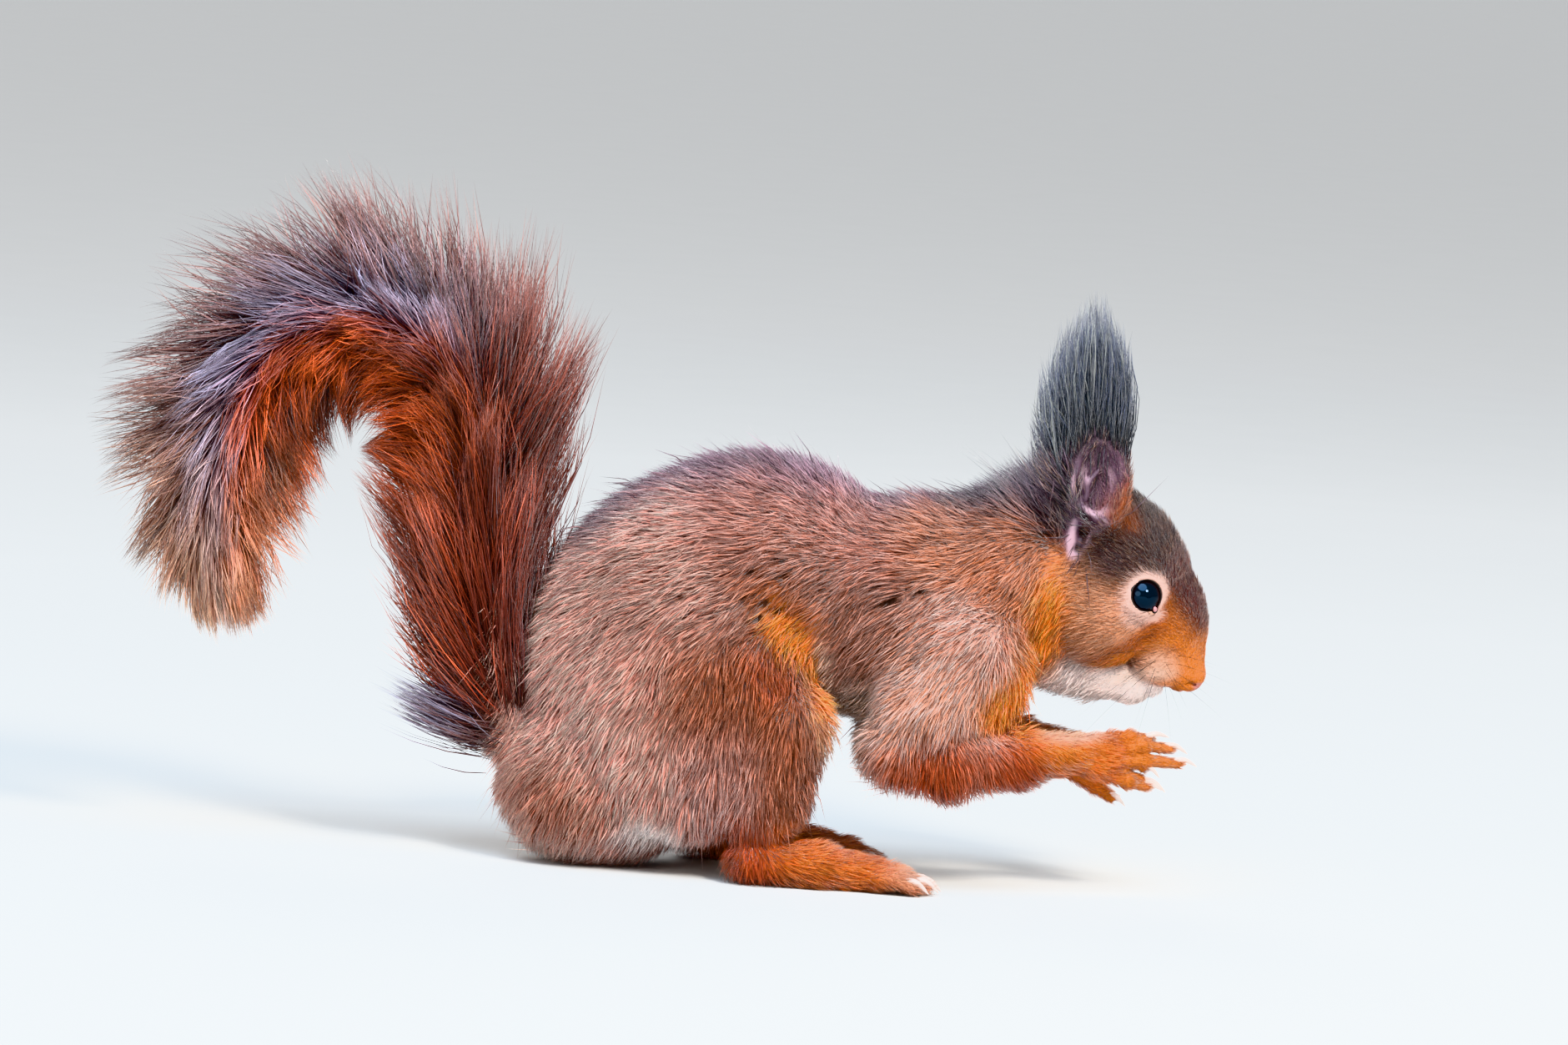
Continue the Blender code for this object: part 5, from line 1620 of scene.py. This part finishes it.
def make_whiskers():
    """Rows of whiskers on each side of the muzzle, longest at the back, and a few brow hairs."""
    random = np.random.default_rng(SEED + 3)
    lines = []
    for side in SIDES:
        for row in range(WHISKER_ROWS):
            for step in range(WHISKERS_IN_ROW):
                root = FRONT_WHISKER + step * WHISKER_BEHIND + row * WHISKER_BELOW
                way = np.array((0.75 - 0.50 * step, 0.70, 0.12 - 0.20 * row))
                way = unit(way + 0.12 * random.normal(size=3))
                reach = sizes().whisker_length * (0.55 + 0.14 * step) * random.uniform(0.85, 1.05)
                lines.append(bent_hair(root, way, reach, side))
        for step in range(BROW_HAIRS):
            root = FRONT_BROW_HAIR - (1.5 * step, 0, 0)
            way = unit(np.array((0.35 - 0.3 * step, 0.5, 0.75)))
            lines.append(bent_hair(root, way, 13 + 2 * step, side, 0.6))
    tubes("whiskers", lines, whisker_material(), 5)


def bent_hair(root, way, reach, side, thick=1.0):
    """One whisker, drooping a little towards its tip and kept near the head."""
    line = []
    for t in np.linspace(0, 1, WHISKER_STEPS + 1):
        x, y, z = root + way * reach * t + np.array((0, 0, -WHISKER_DROOP * reach * t * t))
        place = (min(x, FURTHEST[0] + 2 * t), min(y, FURTHEST[1]), z)
        line.append((*on_side(place, side), thick * sizes().whisker_radius * (1 - 0.85 * t)))
    return line


# ---------------------------------------------------------------- stage

FLOOR_REACH = 12.0  # metres each way, so that no edge shows from any side


def make_stage():
    """A plain pale floor, soft lights and the camera."""
    mesh = bpy.data.meshes.new("studio_floor")
    corners = ((-1, -1), (1, -1), (1, 1), (-1, 1))
    mesh.from_pydata([(x * FLOOR_REACH, y * FLOOR_REACH, 0) for x, y in corners], [], [(0, 1, 2, 3)])
    mesh.materials.append(backdrop_material())
    link("studio_floor", mesh)
    make_lights()
    make_camera()


def aimed(way):
    """The turn that makes a light shine that way."""
    return Vector(way).to_track_quat("-Z", "Y").to_euler()


def area_light(name, place, target, size, energy, tint):
    light = bpy.data.lights.new(name, "AREA")
    light.shape = "DISK"
    light.size = size
    light.energy = energy
    light.color = tint
    obj = link(name, light)
    obj.location = place
    obj.rotation_euler = aimed(Vector(target) - Vector(place))


def make_lights():
    middle = (0, 0, 0.09)
    area_light("key", (0.65, -1.1, 1.0), middle, 0.4, 40, (1.0, 0.96, 0.90))
    area_light("sky", (-0.05, -0.7, 1.3), middle, 1.25, 40, (0.64, 0.81, 1.0))
    area_light("fill", (-0.9, -1.4, 0.5), middle, 1.0, 13, (1.0, 0.96, 0.92))
    sun = bpy.data.lights.new("back", "SUN")
    sun.energy = 1.6
    sun.angle = math.radians(35)
    link("back", sun).rotation_euler = aimed((0.3, -1.0, -0.9))
    world = bpy.data.worlds.new("studio_air")
    world.use_nodes = True
    background = world.node_tree.nodes["Background"]
    background.inputs["Color"].default_value = (0.82, 0.86, 0.92, 1)
    background.inputs["Strength"].default_value = 0.7
    bpy.context.scene.world = world


def make_camera():
    """A long lens, low on the animal's right side, leaning a little as it looks along the floor."""
    roll, elevation, distance = math.radians(3.5), math.radians(5), 2.17
    aim = Vector(in_frame((27.1, 0, 88.0)))
    camera = bpy.data.cameras.new("camera")
    camera.lens = 200
    camera.sensor_width = 36
    camera.clip_start = 0.1
    obj = link("camera", camera)
    back = Vector((0, -math.cos(elevation), math.sin(elevation)))
    turn = Matrix.Rotation(math.pi / 2 - elevation, 4, "X") @ Matrix.Rotation(roll, 4, "Z")
    obj.matrix_world = Matrix.Translation(aim + back * distance) @ turn
    bpy.context.scene.camera = obj
    bpy.context.scene.view_settings.view_transform = "Khronos PBR Neutral"


# ---------------------------------------------------------------- operators, panel and registration

class SQUIRREL_OT_skin(bpy.types.Operator):
    """Makes the one skin over the whole body"""

    bl_idname = "squirrel.skin"
    bl_label = "Skin"

    def execute(self, context):
        make_skin()
        return {"FINISHED"}


class SQUIRREL_OT_coat(bpy.types.Operator):
    """Makes the coat of the body, the ears and the tail, rooted on the skin"""

    bl_idname = "squirrel.coat"
    bl_label = "Coat"

    def execute(self, context):
        roots = Roots(bpy.data.objects["skin"])
        make_body_coat(roots)
        make_ear_tufts(roots)
        make_tail_coat(roots)
        return {"FINISHED"}


class SQUIRREL_OT_eyes(bpy.types.Operator):
    """Makes both eyeballs and the margins of their lids"""

    bl_idname = "squirrel.eyes"
    bl_label = "Eyes"

    def execute(self, context):
        make_eyes()
        make_lids()
        return {"FINISHED"}


class SQUIRREL_OT_claws(bpy.types.Operator):
    """Makes the claws of the hands and feet"""

    bl_idname = "squirrel.claws"
    bl_label = "Claws"

    def execute(self, context):
        make_claws()
        return {"FINISHED"}


class SQUIRREL_OT_whiskers(bpy.types.Operator):
    """Makes the whiskers of the muzzle and brow"""

    bl_idname = "squirrel.whiskers"
    bl_label = "Whiskers"

    def execute(self, context):
        make_whiskers()
        return {"FINISHED"}


class SQUIRREL_OT_stage(bpy.types.Operator):
    """Makes the floor, lights and camera"""

    bl_idname = "squirrel.stage"
    bl_label = "Stage"

    def execute(self, context):
        make_stage()
        return {"FINISHED"}


STEPS = (SQUIRREL_OT_stage, SQUIRREL_OT_skin, SQUIRREL_OT_coat, SQUIRREL_OT_eyes, SQUIRREL_OT_claws,
         SQUIRREL_OT_whiskers)


class SQUIRREL_PT_panel(bpy.types.Panel):
    """Lists the pieces and their sizes and colours"""

    bl_label = "Squirrel"
    bl_idname = "SQUIRREL_PT_panel"
    bl_space_type = "VIEW_3D"
    bl_region_type = "UI"
    bl_category = "Squirrel"

    def draw(self, context):
        for step in STEPS:
            self.layout.operator(step.bl_idname)
        for group in (context.scene.squirrel_sizes, context.scene.squirrel_colours):
            for name in group.bl_rna.properties.keys():
                if name not in ("rna_type", "name"):
                    self.layout.prop(group, name)


CLASSES = (SquirrelColours, SquirrelSizes, *STEPS, SQUIRREL_PT_panel)


def register():
    for item in CLASSES:
        bpy.utils.register_class(item)
    bpy.types.Scene.squirrel_colours = PointerProperty(type=SquirrelColours)
    bpy.types.Scene.squirrel_sizes = PointerProperty(type=SquirrelSizes)


def unregister():
    del bpy.types.Scene.squirrel_sizes
    del bpy.types.Scene.squirrel_colours
    for item in reversed(CLASSES):
        bpy.utils.unregister_class(item)


def main():
    register()
    for step in STEPS:
        prefix, name = step.bl_idname.split(".")
        getattr(getattr(bpy.ops, prefix), name)()


if __name__ == "__main__":
    main()
